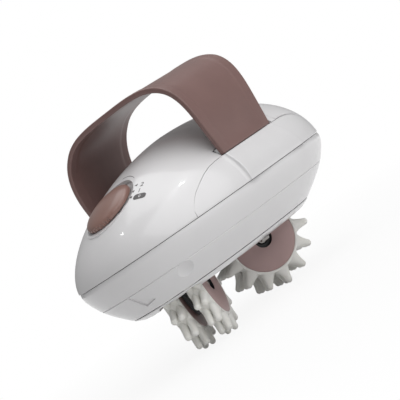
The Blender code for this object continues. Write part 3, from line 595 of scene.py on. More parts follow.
def pedestalFlank(end, way, h, panel):
    # one end of a level: a hollow sweep off the dome and a rounded edge up to the panel
    edge, swept = pedestal["edge"], end + way * pedestal["sweep"]
    tip = (swept, domeHalfWidth(swept, h) - pedestal["tipSink"])
    bend = (end + way * pedestal["bendOut"], domeHalfWidth(end, h) + pedestal["bendRise"])
    crest = (end, panel - edge * 0.5)
    flank = []
    for step in range(pedestal["flankSteps"] + 1):
        t = step / pedestal["flankSteps"]
        flank.append(tuple((1 - t) ** 2 * a + 2 * t * (1 - t) * b + t * t * c
                           for a, b, c in zip(tip, bend, crest)))
    for step in range(1, pedestal["edgeSteps"]):
        turn = step / pedestal["edgeSteps"] * math.pi / 2
        flank.append((end - way * edge * (1 - math.cos(turn)),
                      panel - edge * 0.5 * (1 - math.sin(turn))))
    return flank


def pedestalRing(share):
    # one level of the block: panel, rounded edges, hollow flanks, plain back
    h = gap + (seams["footRise"] - 2 * gap) * share
    side = domeHalfWidth(crownX, h)
    topSide = domeHalfWidth(crownX, seams["footRise"] - gap)
    panel = side + (pedestal["panelY"] - topSide) * share + pedestal["bulge"] * math.sin(math.pi * share)
    front = pedestal["noseX"] - pedestal["noseFlare"] * (1 - share)
    rear = pedestal["tailX"] + pedestal["tailFlare"] * (1 - share)
    outer = pedestalFlank(front, -1, h, panel)
    for step in range(pedestal["panelSteps"] + 1):
        t = step / pedestal["panelSteps"]
        outer.append((front + pedestal["edge"] + (rear - front - 2 * pedestal["edge"]) * t, panel))
    outer += pedestalFlank(rear, 1, h, panel)[::-1]
    inner = side - pedestal["backWall"]
    step = min(max((share - pedestal["stepFrom"]) / pedestal["stepOver"], 0.0), 1.0)
    back = inner + (pedestal["innerTop"] - inner) * step
    outer += [(outer[-1][0], back), (outer[0][0], back)]
    return [(x, y, partingZ + h) for x, y in outer]


pedestalRings = [pedestalRing(level / pedestal["levels"]) for level in range(pedestal["levels"] + 1)]
feet = []
lip = pedestal["lip"]
for side in (-1, 1):
    def pedestalPlace(i, j):
        ring = pedestalRings[j]
        x, y, z = ring[i % len(ring)]
        return x, y * side, z

    def lipPlace(i, j):
        length = pedestal["tailX"] - pedestal["noseX"] + lip["longer"]
        x = pedestal["noseX"] + lip["noseIn"] + length * i
        return x, side * (pedestal["innerTop"] + lip["thickness"] * j), partingZ + lip["low"]

    foot = mapGrid("pedestal", len(pedestalRings[0]), pedestal["levels"], pedestalPlace)
    closeEnds(tidyMesh(foot, outward=False))
    feet.append(smoothBy(foot, pedestal["smooth"]))
    # the lip that stands up behind the foot of the loop
    stand = mapGrid("lip", 1, 1, lipPlace)
    edit(stand, raiseBy((lip["top"] - lip["low"]) * mm), faceOutward, roundEdges(lip["edge"], 3))
    feet.append(smoothBy(stand, 40))
dressShell(joinAll("rear_cover_shell", skin, *feet), "rear_cover")

batteryDoor = {
    "columns": 84, "rows": 34, "frontX": 34.8, "liftMost": 0.9, "angles": (0.3, 1.5), "least": 0.0005,
}


def doorLow(angle):
    def above(lift):
        x, y, h = meridianPoint(angle, lift)
        return h > seamRise(x) + gap
    return lastChange(0.0, batteryDoor["liftMost"], above)


def doorHigh(angle):
    return lastChange(0.0, 1.0, lambda lift: meridianPoint(angle, lift)[0] < batteryDoor["frontX"])


doorAngle = lastChange(*batteryDoor["angles"],
                       lambda angle: doorHigh(angle) < doorLow(angle) + batteryDoor["least"])


def doorPlace(i, j):
    angle = doorAngle * (1 - 2 * i / batteryDoor["columns"])
    low = doorLow(abs(angle))
    high = max(doorHigh(abs(angle)), low)
    x, y, h = meridianPoint(abs(angle), low + (high - low) * j / batteryDoor["rows"])
    return x, math.copysign(y, angle), partingZ + h


door = mapGrid("battery_door_shell", batteryDoor["columns"], batteryDoor["rows"], doorPlace)
dressShell(finishShell(door), "battery_door", body="door")

lowerShell = {
    "columns": 240, "rows": 40, "depth": 25.5, "lipInset": 0.5, "floorNose": 82.5, "floorTail": 50.0,
    "floorHalf": 41.0, "creaseDepth": 13.2, "creaseWidth": 0.4, "creaseDrop": 0.45, "crease": 0.518,
    "profile": ((0.0, 0.0), (0.10, -0.012), (0.28, 0.08), (0.518, 0.28), (0.66, 0.46), (0.82, 0.70),
                (1.0, 1.0)),
    "rowClear": 0.1, "edge": 0.3, "searchSteps": 720, "probeAngle": 0.01, "probeDepth": 0.3,
    "dish": {"spot": (-67.5, -30.5), "depth": 16.8, "radius": 4.9, "sink": 1.8,
             "around": 96, "rings": 64},
    "wedge": {"spots": ((-83.3, -1.5, 12.6), (-76.3, -11.3, 21.0), (-76.5, -3.6, 22.2)),
              "sinks": (0.1, 0.5, 0.8), "out": 3.0},
}


def lowerInset(share):
    # smooth curve through the profile, kept crisp at the crease
    points = lowerShell["profile"]
    for k in range(len(points) - 1):
        (a, fa), (b, fb) = points[k], points[k + 1]
        if share <= b or k == len(points) - 2:
            before = points[k - 1] if k > 0 and a != lowerShell["crease"] else None
            after = points[k + 2] if k + 2 < len(points) and b != lowerShell["crease"] else None
            own = (fb - fa) / (b - a)
            ma = own if before is None else (fb - before[1]) / (b - before[0])
            mb = own if after is None else (after[1] - fa) / (after[0] - a)
            t = (share - a) / (b - a)
            return ((2 * t ** 3 - 3 * t * t + 1) * fa + (t ** 3 - 2 * t * t + t) * (b - a) * ma
                    + (3 * t * t - 2 * t ** 3) * fb + (t ** 3 - t * t) * (b - a) * mb)
    return 1.0


def lowerPoint(angle, depth):
    # a point of the shell's side, from its lip down to its floor, with the groove of the crease
    pull = lowerInset(depth / lowerShell["depth"])
    off = abs(depth - lowerShell["creaseDepth"]) / lowerShell["creaseWidth"]
    groove = lowerShell["creaseDrop"] * max(1 - off, 0.0)
    reaches = []
    for rim, low in (("noseReach", "floorNose"), ("tailReach", "floorTail"), ("halfWidth", "floorHalf")):
        top = casing[rim] - lowerShell["lipInset"]
        reaches.append(top + (lowerShell[low] - top) * pull - groove)
    return (*eggPoint(angle, *reaches), partingZ - depth)


def lowerSpot(x, y, depth):
    # the point of the shell's side in this direction and at this depth, with its outward normal
    def miss(angle):
        px, py = lowerPoint(angle, depth)[:2]
        return abs(math.atan2(py, px - crownX) - math.atan2(y, x - crownX))
    steps = lowerShell["searchSteps"]
    angle = min((-math.pi + math.pi * step / steps for step in range(steps + 1)), key=miss)
    here = Vector(lowerPoint(angle, depth))
    along = Vector(lowerPoint(angle + lowerShell["probeAngle"], depth)) - here
    down = Vector(lowerPoint(angle, depth + lowerShell["probeDepth"])) - here
    normal = down.cross(along).normalized()
    if normal.dot(Vector((here.x - crownX, here.y, 0))) < 0:
        normal.negate()
    return here, normal


crease, half = lowerShell["creaseDepth"], lowerShell["creaseWidth"]
lowerDepths = [lowerShell["depth"] * step / lowerShell["rows"] for step in range(lowerShell["rows"] + 1)]
lowerDepths = [depth for depth in lowerDepths if abs(depth - crease) > half + lowerShell["rowClear"]]
lowerDepths = sorted(lowerDepths + [crease - half, crease, crease + half])


def lowerPlace(i, j):
    return lowerPoint(math.tau * i / lowerShell["columns"], lowerDepths[j])


lower = mapGrid("lower_casing_shell", lowerShell["columns"], len(lowerDepths) - 1, lowerPlace)
tidyMesh(lower, outward=False)
# an open ring can't tell its outside by itself, so it is checked at one face
face = lower.data.polygons[0]
if face.normal.dot(face.center - Vector((crownX * mm, 0, face.center.z))) < 0:
    lower.data.flip_normals()
addWall(lower, casing["wall"], even=False)
roundRims(lower, lowerShell["edge"], 2, 60)
# the round dish in the side and the sloping pocket at the nose
dish = lowerShell["dish"]
spot, normal = lowerSpot(*dish["spot"], dish["depth"])
ball = (dish["radius"] ** 2 + dish["sink"] ** 2) / (2 * dish["sink"])
dishCutter = add("dish_cutter", bpy.ops.mesh.primitive_uv_sphere_add, segments=dish["around"],
                 ring_count=dish["rings"], radius=ball * mm,
                 location=(spot + normal * (ball - dish["sink"])) * mm)
bpy.ops.object.transform_apply(location=True, rotation=True, scale=True)
wedge = lowerShell["wedge"]
wedgeCutter = add("wedge_cutter", bpy.ops.mesh.primitive_cylinder_add, vertices=3, radius=1, depth=2)
ring = sorted((point for point in wedgeCutter.data.vertices if point.co.z > 0),
              key=lambda point: math.atan2(point.co.y, point.co.x))
for point, corner, sink in zip(ring, wedge["spots"], wedge["sinks"]):
    below = min((other for other in wedgeCutter.data.vertices if other.co.z < 0),
                key=lambda other: (other.co.xy - point.co.xy).length)
    here, normal = lowerSpot(*corner)
    point.co = (here + normal * wedge["out"]) * mm
    below.co = (here - normal * sink) * mm
carve(lower, dishCutter, tidyMesh(wedgeCutter))
dressShell(smoothBy(lower, 25), "lower_shell")

bottomPlate = {
    "low": 30.5, "top": 33.0, "inset": 0.8, "chamfer": 4.2, "chamferZ": 32.5, "steps": 200, "edge": 0.3,
    "slot": {"length": 59.4, "width": 25.2, "height": 12.0, "z": 31.5, "corner": 5.0, "cornerSteps": 10,
             "xs": (-42.0, 24.0), "yaw": 30.5},
    "land": {"centre": (-9.0, 24.0), "size": (16.0, 9.0), "low": 29.7, "height": 1.4, "edge": 0.35},
    "screws": ((-9.0, 33.0), (-9.0, -33.0), (38.0, 24.0), (-50.0, 22.0)),
    "screwHole": ((0, 26), (1.5, 26), (1.5, 36), (0, 36)),
}
inset = bottomPlate["inset"]
plateLevels = ((bottomPlate["low"], inset + bottomPlate["chamfer"]), (bottomPlate["chamferZ"], inset),
               (bottomPlate["top"], inset))


def platePlace(i, j):
    height, inset = plateLevels[j]
    reaches = (lowerShell[key] - inset for key in ("floorNose", "floorTail", "floorHalf"))
    return (*eggPoint(math.tau * i / bottomPlate["steps"], *reaches), height)


def rollerSlot(side, x):
    # a cutter with rounded upright edges
    slot = bottomPlate["slot"]
    cutter = layCube("roller_slot", stretch(slot["length"], slot["width"], slot["height"]))
    pick(cutter)
    bpy.ops.object.mode_set(mode="EDIT")
    bpy.ops.mesh.select_all(action="DESELECT")
    bpy.ops.object.mode_set(mode="OBJECT")
    for edge in cutter.data.edges:
        first, second = (cutter.data.vertices[k].co for k in edge.vertices)
        edge.select = abs(first.z - second.z) > mm
    bpy.ops.object.mode_set(mode="EDIT")
    bpy.ops.mesh.select_mode(type="EDGE")
    roundEdges(slot["corner"], slot["cornerSteps"])()
    bpy.ops.object.mode_set(mode="OBJECT")
    return moveBy(cutter, shift(x, 0, slot["z"]) @ turnBy(-side * slot["yaw"]))


plate = mapGrid("bottom_plate_panel", bottomPlate["steps"], len(plateLevels) - 1, platePlace)
closeEnds(tidyMesh(plate, outward=False))
openings = [rollerSlot(side, x) for side, x in zip((-1, 1), bottomPlate["slot"]["xs"])]
for x, y in bottomPlate["screws"]:
    openings.append(turnProfile("screw_hole", bottomPlate["screwHole"], 24, shift(x, y, 0)))
carve(plate, *openings)
roundRims(plate, bottomPlate["edge"], 3, 50)
smoothBy(plate, 40)
# the flat boss that the part rests on when it stands in a tray
land = bottomPlate["land"]
boss = layCube("rest_land", shift(*land["centre"], land["low"] + land["height"] / 2)
               @ stretch(*land["size"], land["height"]))
smoothBy(edit(boss, roundEdges(land["edge"], 3)), 40)
dressShell(joinAll("bottom_plate_panel", plate, boss), "bottom_plate")

caseScrew = {
    "profile": ((0, 45.0), (1.2, 45.0), (1.2, 30.2), (2.8, 30.2), (2.8, 29.6), (2.5, 28.95), (1.9, 28.8),
                (0.0, 28.8)),
    "crossZ": 28.9, "crossHeight": 1.4, "crossTurns": (0, 90),
}
cross = {"length": 2.6, "width": 0.6}


def cutCross(screw, middle, height, turns):
    # a cross for the driver; middle lays its centre in the screw's head
    bars = [layCube("cross", middle @ turnBy(turn) @ stretch(cross["length"], cross["width"], height))
            for turn in turns]
    return smoothBy(carve(screw, *bars), 35)


for number, (x, y) in enumerate(bottomPlate["screws"], 1):
    screw = turnProfile("case_screw_%d_head" % number, caseScrew["profile"], 32, shift(x, y, 0))
    cutCross(screw, shift(x, y, caseScrew["crossZ"]), caseScrew["crossHeight"], caseScrew["crossTurns"])
    dress(screw, surface["screwSteel"], "casing", "case_screw_%d" % number, slot="screw_steel")
print("bottom plate and case screws made")

handLoop = {
    "halfSpan": 51.5, "rise": 59.0, "legTop": 13.3, "power": 3.66, "thickness": 3.0, "footZ": 77.4,
    "noseX": -19.0, "tailX": 26.0, "flare": 8.4, "lean": -1.2, "belly": 2.0, "waist": 3.0,
    "swell": 0.037, "dip": 1.2, "flareHeight": 46.5, "edge": 1.25, "edgeSteps": 4,
    "steps": 120, "drawSteps": 720, "across": 60,
    "tailBorder": 7.0, "noseBorder": 6.0, "sink": 0.28, "slope": 1.6, "sinkSpeed": 8,
}


def easeIn(share):
    return share * share * (3 - 2 * share)


def loopPath():
    # points along the strap's outer face, in (y, z), evenly spaced
    half, foot, count = handLoop["halfSpan"], handLoop["footZ"], handLoop["drawSteps"]
    raw = [(half, foot)]
    for step in range(count + 1):
        turn, share = math.pi * step / count, 2 / handLoop["power"]
        y = math.copysign(abs(math.cos(turn)) ** share, math.cos(turn)) * half
        z = partingZ + handLoop["legTop"]
        if 0 < step < count:
            z += handLoop["rise"] * math.sin(turn) ** share
        if z > foot:
            raw.append((y, z))
    raw.append((-half, foot))
    lengths = [0.0]
    for before, after in zip(raw, raw[1:]):
        lengths.append(lengths[-1] + math.dist(before, after))
    path = []
    k = 0
    for step in range(handLoop["steps"] + 1):
        aim = lengths[-1] * step / handLoop["steps"]
        while k < len(raw) - 2 and lengths[k + 1] < aim:
            k += 1
        t = (aim - lengths[k]) / (lengths[k + 1] - lengths[k])
        path.append(tuple(a + (b - a) * t for a, b in zip(raw[k], raw[k + 1])))
    return path


loopLine = loopPath()


def loopPlace(i, j):
    y, z = loopLine[i]
    share = min((z - handLoop["footZ"]) / handLoop["flareHeight"], 1.0)
    # the legs swell a little outwards over their feet
    y *= 1 + handLoop["swell"] * easeIn(share)
    bow = math.sin(math.pi * share)
    tail = handLoop["tailX"] + handLoop["flare"] * (1 - (1 - share) ** 2) - handLoop["waist"] * bow
    nose = handLoop["noseX"] + handLoop["lean"] * share * share - handLoop["belly"] * bow
    x = nose + (tail - nose) * j / handLoop["across"]
    # the middle of the strap lies a little lower than its borders
    inside = min(tail - x - handLoop["tailBorder"], x - nose - handLoop["noseBorder"])
    inside = min(max(inside / handLoop["slope"] + 0.5, 0.0), 1.0)
    sink = handLoop["sink"] * easeIn(inside) * min(share * handLoop["sinkSpeed"], 1.0)
    before, after = loopLine[max(i - 1, 0)], loopLine[min(i + 1, handLoop["steps"])]
    length = math.dist(before, after)
    # the nose edge of the crown lies lower than its tail edge
    z -= handLoop["dip"] * share * (1 - j / handLoop["across"])
    return x, y - sink * (after[1] - before[1]) / length, z - sink * (before[0] - after[0]) / length


strap = mapGrid("hand_loop", handLoop["steps"], handLoop["across"], loopPlace)
middle = strap.data.polygons[len(strap.data.polygons) // 2]
if middle.normal.z < 0:
    strap.data.flip_normals()
addWall(strap, handLoop["thickness"])
roundRims(strap, handLoop["edge"], handLoop["edgeSteps"], 60)
smoothBy(strap, 40)
dress(strap, surface["bandMauve"], "casing", "handle_band", slot="mauve_band")
print("hand loop:", len(strap.data.polygons), "faces")

radius, base, edge = knob["radius"], knob["base"], knob["edge"]
stem, low = knob["stemRadius"], knob["base"] - knob["stemLength"]
profile = []
for step in range(knob["domeSteps"]):
    turn = step / knob["domeSteps"] * math.pi / 2
    rise = (knob["crown"] - knob["rim"]) * math.cos(turn)
    profile.append((radius * math.sin(turn), knob["rim"] + rise))
profile += [
    (radius, knob["rim"]), (radius, base + edge), (radius - edge, base), (stem, base),
    (stem, low + edge), (stem - edge, low), (0.0, low)]
dial = turnProfile("switch_knob_dial", profile, knob["turnSteps"])
grooves = []
for step in range(knob["grooves"]):
    turn = math.pi + math.radians((step - (knob["grooves"] - 1) / 2) * knob["groovePitch"])
    out = radius + knob["grooveOut"]
    grooves.append(turnProfile("thumb_groove", [
        (0, knob["grooveLow"]), (knob["grooveRadius"], knob["grooveLow"]),
        (knob["grooveRadius"], knob["grooveTop"]), (0, knob["grooveTip"])], 24,
        shift(out * math.cos(turn), out * math.sin(turn), 0)))
carve(dial, *grooves)
moveBy(dial, knobFrame)
smoothBy(dial, 35)
dress(dial, surface["knobMauve"], "switch", "switch_knob", slot="mauve_band")
print("knob:", len(dial.data.polygons), "faces")

roller = {
    "middleX": -9.0, "halfPitch": 33.0, "axleZ": 28.5, "yaw": 30.5, "inner": 2.5, "outer": 11.5,
    "turnSteps": 112,
}
tyre = {
    "inner": 18.65, "outer": 20.2, "rimRise": 0.95, "rimEdge": 0.3, "edge": 0.1, "shoulderIn": 0.25,
    "shoulderLow": 0.6, "shoulderHigh": 1.2, "teeth": 14, "rowOffset": 2.2,
}
tooth = {
    "around": 24, "along": 18, "rootSink": 0.5, "tipRadius": 28.5, "shaft": 0.62, "rootLength": 2.3,
    "rootWidth": 3.35, "tipLength": 1.75, "tipWidth": 1.85, "web": 0.32, "webPower": 3, "taper": 0.9,
}
hub = {
    "radius": 18.5, "bore": 2.8, "backEdge": 0.2, "edge": 0.25, "edgeShare": 0.3,
    "recess": 5.3, "recessDepth": 2.7, "recessEdge": 0.3, "recessRound": 0.08, "shadeMargin": 0.01,
}
endScrew = {
    "headRadius": 3.3, "headTop": 2.2, "headRound": 1.7, "headLow": 0.5, "headSteps": 8,
    "footRadius": 3.15, "footEdge": 0.15, "shankRadius": 1.1, "shankLength": 4.2,
    "pointRadius": 0.8, "length": 4.5, "crossHeight": 1.6, "crossTurns": (20, 110),
}


def rollerFrame(side):
    # local X across the pair, Y up, Z out along the axle towards -Y
    yaw = math.radians(roller["yaw"])
    x = Vector((math.cos(yaw), -side * math.sin(yaw), 0))
    y = Vector((0, 0, 1))
    turn = Matrix((x, y, x.cross(y))).transposed().to_4x4()
    middle = Vector((roller["middleX"] + side * roller["halfPitch"], 0, roller["axleZ"]))
    return Matrix.Translation(middle * mm) @ turn


def toothPlace(i, j):
    # one finger: a wide webbed foot, a tapering shaft and a round blunt tip, along local X
    turn = math.tau * i / tooth["around"]
    t = j / tooth["along"]
    cap = tooth["tipLength"]
    root, neck = tyre["outer"] - tooth["rootSink"], tooth["tipRadius"] - cap
    if t < tooth["shaft"]:
        s = t / tooth["shaft"]
        reach = root + (neck - root) * s
        web = tooth["web"] * (1 - s) ** tooth["webPower"] * tooth["rootWidth"]
        length = tooth["rootLength"] + (cap - tooth["rootLength"]) * s
        width = tooth["rootWidth"] + (tooth["tipWidth"] - tooth["rootWidth"]) * s ** tooth["taper"] + web
    else:
        s = (t - tooth["shaft"]) / (1 - tooth["shaft"]) * math.pi / 2
        reach = neck + cap * math.sin(s)
        length, width = cap * math.cos(s), tooth["tipWidth"] * math.cos(s)
    return reach, math.sin(turn) * width, math.cos(turn) * length


finger = mapGrid("tooth", tooth["around"], tooth["along"], toothPlace)
closeEnds(tidyMesh(finger, weld=0.001))
smoothBy(finger, 60)


def makeTyre(name, side, near):
    low, high = (roller["inner"], roller["outer"]) if near else (-roller["outer"], -roller["inner"])
    a, b, rise, edge = tyre["inner"], tyre["outer"], tyre["rimRise"], tyre["edge"]
    rim, slope = a + rise + tyre["rimEdge"], b - tyre["shoulderIn"]
    ring = turnProfile(name, [
        (a, low + edge), (a, high - edge), (a + edge, high), (a + rise, high), (rim, high - edge),
        (slope, high - tyre["shoulderLow"]), (b, high - tyre["shoulderHigh"]),
        (b, low + tyre["shoulderHigh"]), (slope, low + tyre["shoulderLow"]),
        (rim, low + edge), (a + rise, low), (a + edge, low), (a, low + edge)], roller["turnSteps"])
    fingers = [smoothBy(ring, 50)]
    for row in (-1, 1):
        for k in range(tyre["teeth"]):
            height = (low + high) / 2 + row * tyre["rowOffset"]
            fingers.append(copyOf(finger, "finger", shift(0, 0, height)
                                  @ turnBy(360 * k / tyre["teeth"] - 90)))
    return moveBy(joinAll(name, *fingers), rollerFrame(side))


def makeHub(name, side, near):
    way = 1 if near else -1
    face, back = way * roller["outer"], way * roller["inner"]
    rim, edge, recess, bore = hub["radius"], hub["edge"], hub["recess"], hub["bore"]
    slant, deep = hub["edgeShare"] * edge, face - way * hub["recessDepth"]
    disc = turnProfile(name, [
        (bore, back), (rim - hub["backEdge"], back), (rim, back + way * hub["backEdge"]),
        (rim, face - way * edge), (rim - slant, face - way * slant), (rim - edge, face),
        (recess + hub["recessEdge"], face),
        (recess + hub["recessRound"], face - way * hub["recessRound"]),
        (recess, face - way * hub["recessEdge"]), (recess, deep), (bore, deep), (bore, back)],
        roller["turnSteps"])
    smoothBy(disc, 32)
    # painted shade: the walls and the floor of the recess take the black finish so the hole reads dark
    for part in disc.data.polygons:
        off = math.hypot(part.center.x, part.center.y) / mm
        part.material_index = 1 if off < recess + hub["shadeMargin"] else 0
    return moveBy(disc, rollerFrame(side))


def makeEndScrew(name, side, near):
    way = 1 if near else -1
    sit = way * (roller["outer"] - hub["recessDepth"])
    head, shank, end = endScrew["headRadius"], endScrew["shankRadius"], sit - way * endScrew["length"]
    profile = [(0.0, sit + way * endScrew["headTop"])]
    for step in range(1, endScrew["headSteps"] + 1):
        turn = step / endScrew["headSteps"] * math.pi / 2
        rise = endScrew["headLow"] + endScrew["headRound"] * math.cos(turn)
        profile.append((head * math.sin(turn), sit + way * rise))
    profile += [
        (head, sit + way * endScrew["footEdge"]), (endScrew["footRadius"], sit), (shank, sit),
        (shank, sit - way * endScrew["shankLength"]), (endScrew["pointRadius"], end), (0.0, end)]
    screw = turnProfile(name, profile, 48)
    cutCross(screw, shift(0, 0, sit + way * endScrew["headTop"]),
             endScrew["crossHeight"], endScrew["crossTurns"])
    return moveBy(screw, rollerFrame(side))


rollerPieces = (
    ("tyre", "toothed", makeTyre, "toothRubber", "white_rubber", None),
    # the hub's black second finish is painted shade inside the screw recess
    ("hub", "disc", makeHub, "hubMauve", "mauve_hub", "blackNylon"),
    # the end screws take the darkened steel, painted shade for the recess they sit in
    ("axle_screw", "head", makeEndScrew, "screwSteel", "screw_steel", None),
)
for word, side in (("front", -1), ("rear", 1)):
    for place, near in (("near", True), ("far", False)):
        for kind, ending, make, finish, slot, second in rollerPieces:
            node = "%s_%s_%s" % (word, kind, place)
            piece = make("%s_%s" % (node, ending), side, near)
            dress(piece, surface[finish], word + "_rollers", node, slot=slot, second=surface.get(second))
bpy.data.objects.remove(finger)
print("rollers made")

marks = {
    "lift": 0.04, "thickness": 0.05, "probe": 0.5, "numberSize": 4.2,
    "numbers": (("1", -54.7, -22.2), ("2", -50.7, -22.4)),
    "arrows": ((-58.4, -18.3), (-54.7, -18.4), (-50.6, -18.7)), "arrowRadius": 1.3, "arrowSquash": 0.75,
    "tab": {"spot": (-58.5, -23.6), "grid": (24, 10), "half": (3.7, 1.85), "endRound": 0.9,
            "endPower": 4, "sideRound": 0.12, "sidePower": 8, "zeroSize": 2.6, "zeroLift": 1.5},
    "arc": {"radius": 19.6, "from": -4.0, "to": -46.0, "width": 0.4, "steps": 40},
}
# the marks read from the near side of the nose: their lines run towards -Y
markRight = Vector((0.0, -1.0, 0.0))


def layOnDome(piece, x, y):
    # wraps a flat shape, drawn in mm round its own middle, onto the dome at (x, y)
    step = marks["probe"]
    slopeX = (domeRise(x + step, y) - domeRise(x - step, y)) / (2 * step)
    slopeY = (domeRise(x, y + step) - domeRise(x, y - step)) / (2 * step)
    normal = Vector((-slopeX, -slopeY, 1)).normalized()
    across = (markRight - normal * markRight.dot(normal)).normalized()
    upward = normal.cross(across)
    for point in piece.data.vertices:
        px = x + (across.x * point.co.x + upward.x * point.co.y)
        py = y + (across.y * point.co.x + upward.y * point.co.y)
        base = Vector((px, py, partingZ + domeRise(px, py)))
        point.co = (base + normal * (marks["lift"] + point.co.z)) * mm
    return piece


def flatText(word, size):
    deselectAll()
    bpy.ops.object.text_add()
    sign = bpy.context.active_object
    sign.data.body = word
    sign.data.size = size
    sign.data.align_x = "CENTER"
    sign.data.align_y = "CENTER"
    sign.data.extrude = marks["thickness"] / 2
    pick(sign)
    bpy.ops.object.convert(target="MESH")
    sign = named("number_" + word)
    return tidyMesh(sign, weld=1.0)


def thicken(piece):
    # a flat mark gets a thickness and closed edges
    return edit(piece, raiseBy(marks["thickness"]), faceOutward)


signs = []
for word, x, y in marks["numbers"]:
    signs.append(layOnDome(flatText(word, marks["numberSize"]), x, y))
for x, y in marks["arrows"]:
    arrow = add("arrowhead", bpy.ops.mesh.primitive_circle_add, vertices=3, radius=marks["arrowRadius"],
                fill_type="NGON")
    moveBy(arrow, Matrix.Diagonal((1.0, marks["arrowSquash"], 1, 1)) @ turnBy(90))
    signs.append(layOnDome(thicken(arrow), x, y))
# a dark tab with the off number in it
tab = marks["tab"]


def tabPlace(i, j):
    u, v = (2 * k / count - 1 for k, count in zip((i, j), tab["grid"]))
    return (u * (tab["half"][0] - tab["endRound"] * v ** tab["endPower"]),
            v * tab["half"][1] * (1 - tab["sideRound"] * u ** tab["sidePower"]), 0)


signs.append(layOnDome(thicken(mapGrid("off_tab", *tab["grid"], tabPlace, unit=1)), *tab["spot"]))
dress(joinAll("dial_marks", *signs), surface["printGrey"], "casing")
zero = flatText("0", tab["zeroSize"])
moveBy(zero, Matrix.Translation((0, 0, marks["thickness"] * tab["zeroLift"])))
dress(layOnDome(zero, *tab["spot"]), surface["shellWhite"], "casing")


def arcPlace(i, j):
    values = marks["arc"]
    turn = math.radians(values["from"] + (values["to"] - values["from"]) * i / values["steps"])
    # thin at both ends
    swell = math.sin(math.pi * (i + 1) / (values["steps"] + 2)) ** 0.5
    radius = values["radius"] + values["width"] * (j - 0.5) * swell
    x = knob["centre"][0] + radius * math.cos(turn)
    y = radius * math.sin(turn)
    return x, y, partingZ + domeRise(x, y) + marks["lift"]


arc = mapGrid("dial_arc", marks["arc"]["steps"], 1, arcPlace)
dress(addWall(arc, marks["thickness"], even=False, offset=0), surface["printGrey"], "casing")
print("marks laid")

innerFinish = {
    "blackNylon": ["chassis", "battery_tray", "switch_body"],
    "gearAcetal": [], "axleSteel": [], "motorCan": [],
    "boardGreen": ["control_board"],
    "cellSleeve": ["battery_cell_1", "battery_cell_2", "battery_cell_3"],
    "contactNickel": ["battery_contact_left", "battery_contact_right"],
}
# what each of the two drives has
driveFinish = {
    "blackNylon": ("gearbox_near", "gearbox_far", "gearhead", "motor_strap"),
    "gearAcetal": ("axle_gear", "idler_gear", "pinion"),
    "axleSteel": ("axle", "idler_pin", "output_shaft"),
    "motorCan": ("motor",),
}
for finish, parts in driveFinish.items():
    innerFinish[finish] += ["%s_%s" % (drive, part) for drive in ("front", "rear") for part in parts]
for finish, nodes in innerFinish.items():
    for node in nodes:
        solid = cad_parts[node]
        if not solid.material_slots:
            solid.data.materials.append(surface[finish])
        for slot in solid.material_slots:
            slot.material = surface[finish]
print("inner pieces finished")

studio = {
    "floorSize": 6.0, "floorTone": 0.8, "floorRough": 0.9, "world": 0.27, "aim": (0, 0, 0.06),
    "shadowNear": 0.10, "shadowFar": 0.40, "shadowShare": 0.10,
    "lamps": {
        "key": {"place": (-0.10, -0.92, 0.98), "size": 1.7, "watts": 14.5},
        "top": {"place": (0.30, 0.10, 1.05), "size": 0.8, "watts": 3.0},
        "window": {"place": (0.275, -0.285, 0.992), "size": 0.045, "watts": 0.30},
        "behind": {"place": (-0.249, 0.36, 0.983), "size": 0.03, "watts": 0.16},
    },
}
white = (1, 1, 1, 1)


def seenBy(tree, *rays):
    # one where either of the two kinds of ray looks
    seen = addNode(tree, "LightPath")
    either = addNode(tree, "Math")
    either.operation = "MAXIMUM"
    for socket, ray in enumerate(rays):
        wire(tree, (seen, ray, either, socket))
    return either


floor = add("studio_floor", bpy.ops.mesh.primitive_plane_add, size=studio["floorSize"])
ground, tree = newMaterial("paleFloor")
matt = setInputs(tree.nodes["Principled BSDF"], {
    "Base Color": (*[studio["floorTone"]] * 3, 1), "Roughness": studio["floorRough"]})
glow = addNode(tree, "Emission", {"Color": white})
either = seenBy(tree, "Is Camera Ray", "Is Glossy Ray")
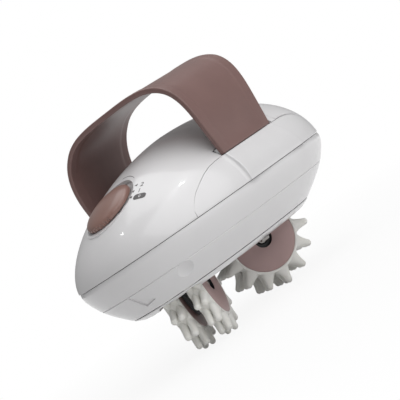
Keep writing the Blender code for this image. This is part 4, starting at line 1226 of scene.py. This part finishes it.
# the shadow shows near the part and fades into plain white further out
where = addNode(tree, "TexCoord")
distance = addNode(tree, "VectorMath")
distance.operation = "LENGTH"
fade = addNode(tree, "MapRange", {
    "From Min": studio["shadowNear"], "From Max": studio["shadowFar"],
    "To Min": 1 - studio["shadowShare"], "To Max": 1.0})
amount = addNode(tree, "Math")
amount.operation = "MULTIPLY"
blend = addNode(tree, "MixShader")
wire(tree, (where, "Object", distance, 0), (distance, "Value", fade, "Value"),
     (either, "Value", amount, 0), (fade, "Result", amount, 1), (amount, "Value", blend, "Fac"),
     (matt, "BSDF", blend, 1), (glow, "Emission", blend, 2),
     (blend, "Shader", tree.nodes["Material Output"], "Surface"))
floor.data.materials.append(ground)

world = bpy.data.worlds.new("studio")
bpy.context.scene.world = world
world.use_nodes = True
tree = world.node_tree
dim = setInputs(tree.nodes["Background"], {"Color": white, "Strength": studio["world"]})
bright = addNode(tree, "Background", {"Color": white, "Strength": 1.0})
either = seenBy(tree, "Is Camera Ray", "Is Transmission Ray")
blend = addNode(tree, "MixShader")
wire(tree, (either, "Value", blend, "Fac"), (dim, "Background", blend, 1),
     (bright, "Background", blend, 2), (blend, "Shader", tree.nodes["World Output"], "Surface"))

for name, values in studio["lamps"].items():
    lamp = add("lamp_" + name, bpy.ops.object.light_add, type="AREA", location=values["place"])
    lamp.data.shape = "SQUARE"
    lamp.data.size = values["size"]
    lamp.data.energy = values["watts"]
    beam = Vector(studio["aim"]) - Vector(values["place"])
    lamp.rotation_euler = beam.to_track_quat("-Z", "Y").to_euler()

# the camera's tilt and place, worked out from the outlines in the photograph
view = {
    "azimuth": -49.026, "elevation": 0.818, "roll": 34.223, "distance": 0.74639,
    "shift": (0.00070, -0.00629), "aim": (0, 0, 0.0588), "lens": 126.0,
    "sensor": 36.0, "clipStart": 0.01,
}
azimuth, elevation, roll = (math.radians(view[key]) for key in ("azimuth", "elevation", "roll"))
back = Vector((math.sin(azimuth) * math.cos(elevation), -math.cos(azimuth) * math.cos(elevation),
               math.sin(elevation)))
level = Vector((math.cos(azimuth), math.sin(azimuth), 0))
upright = back.cross(level)
right = math.cos(roll) * level - math.sin(roll) * upright
up = math.sin(roll) * level + math.cos(roll) * upright
place = Vector(view["aim"]) + view["distance"] * back - view["shift"][0] * right - view["shift"][1] * up
camera = add("photo_camera", bpy.ops.object.camera_add)
camera.data.lens = view["lens"]
camera.data.sensor_width = view["sensor"]
camera.data.clip_start = view["clipStart"]
camera.matrix_world = Matrix.Translation(place) @ Matrix((right, up, back)).transposed().to_4x4()
bpy.context.scene.camera = camera
bpy.context.scene.view_settings.view_transform = "Standard"
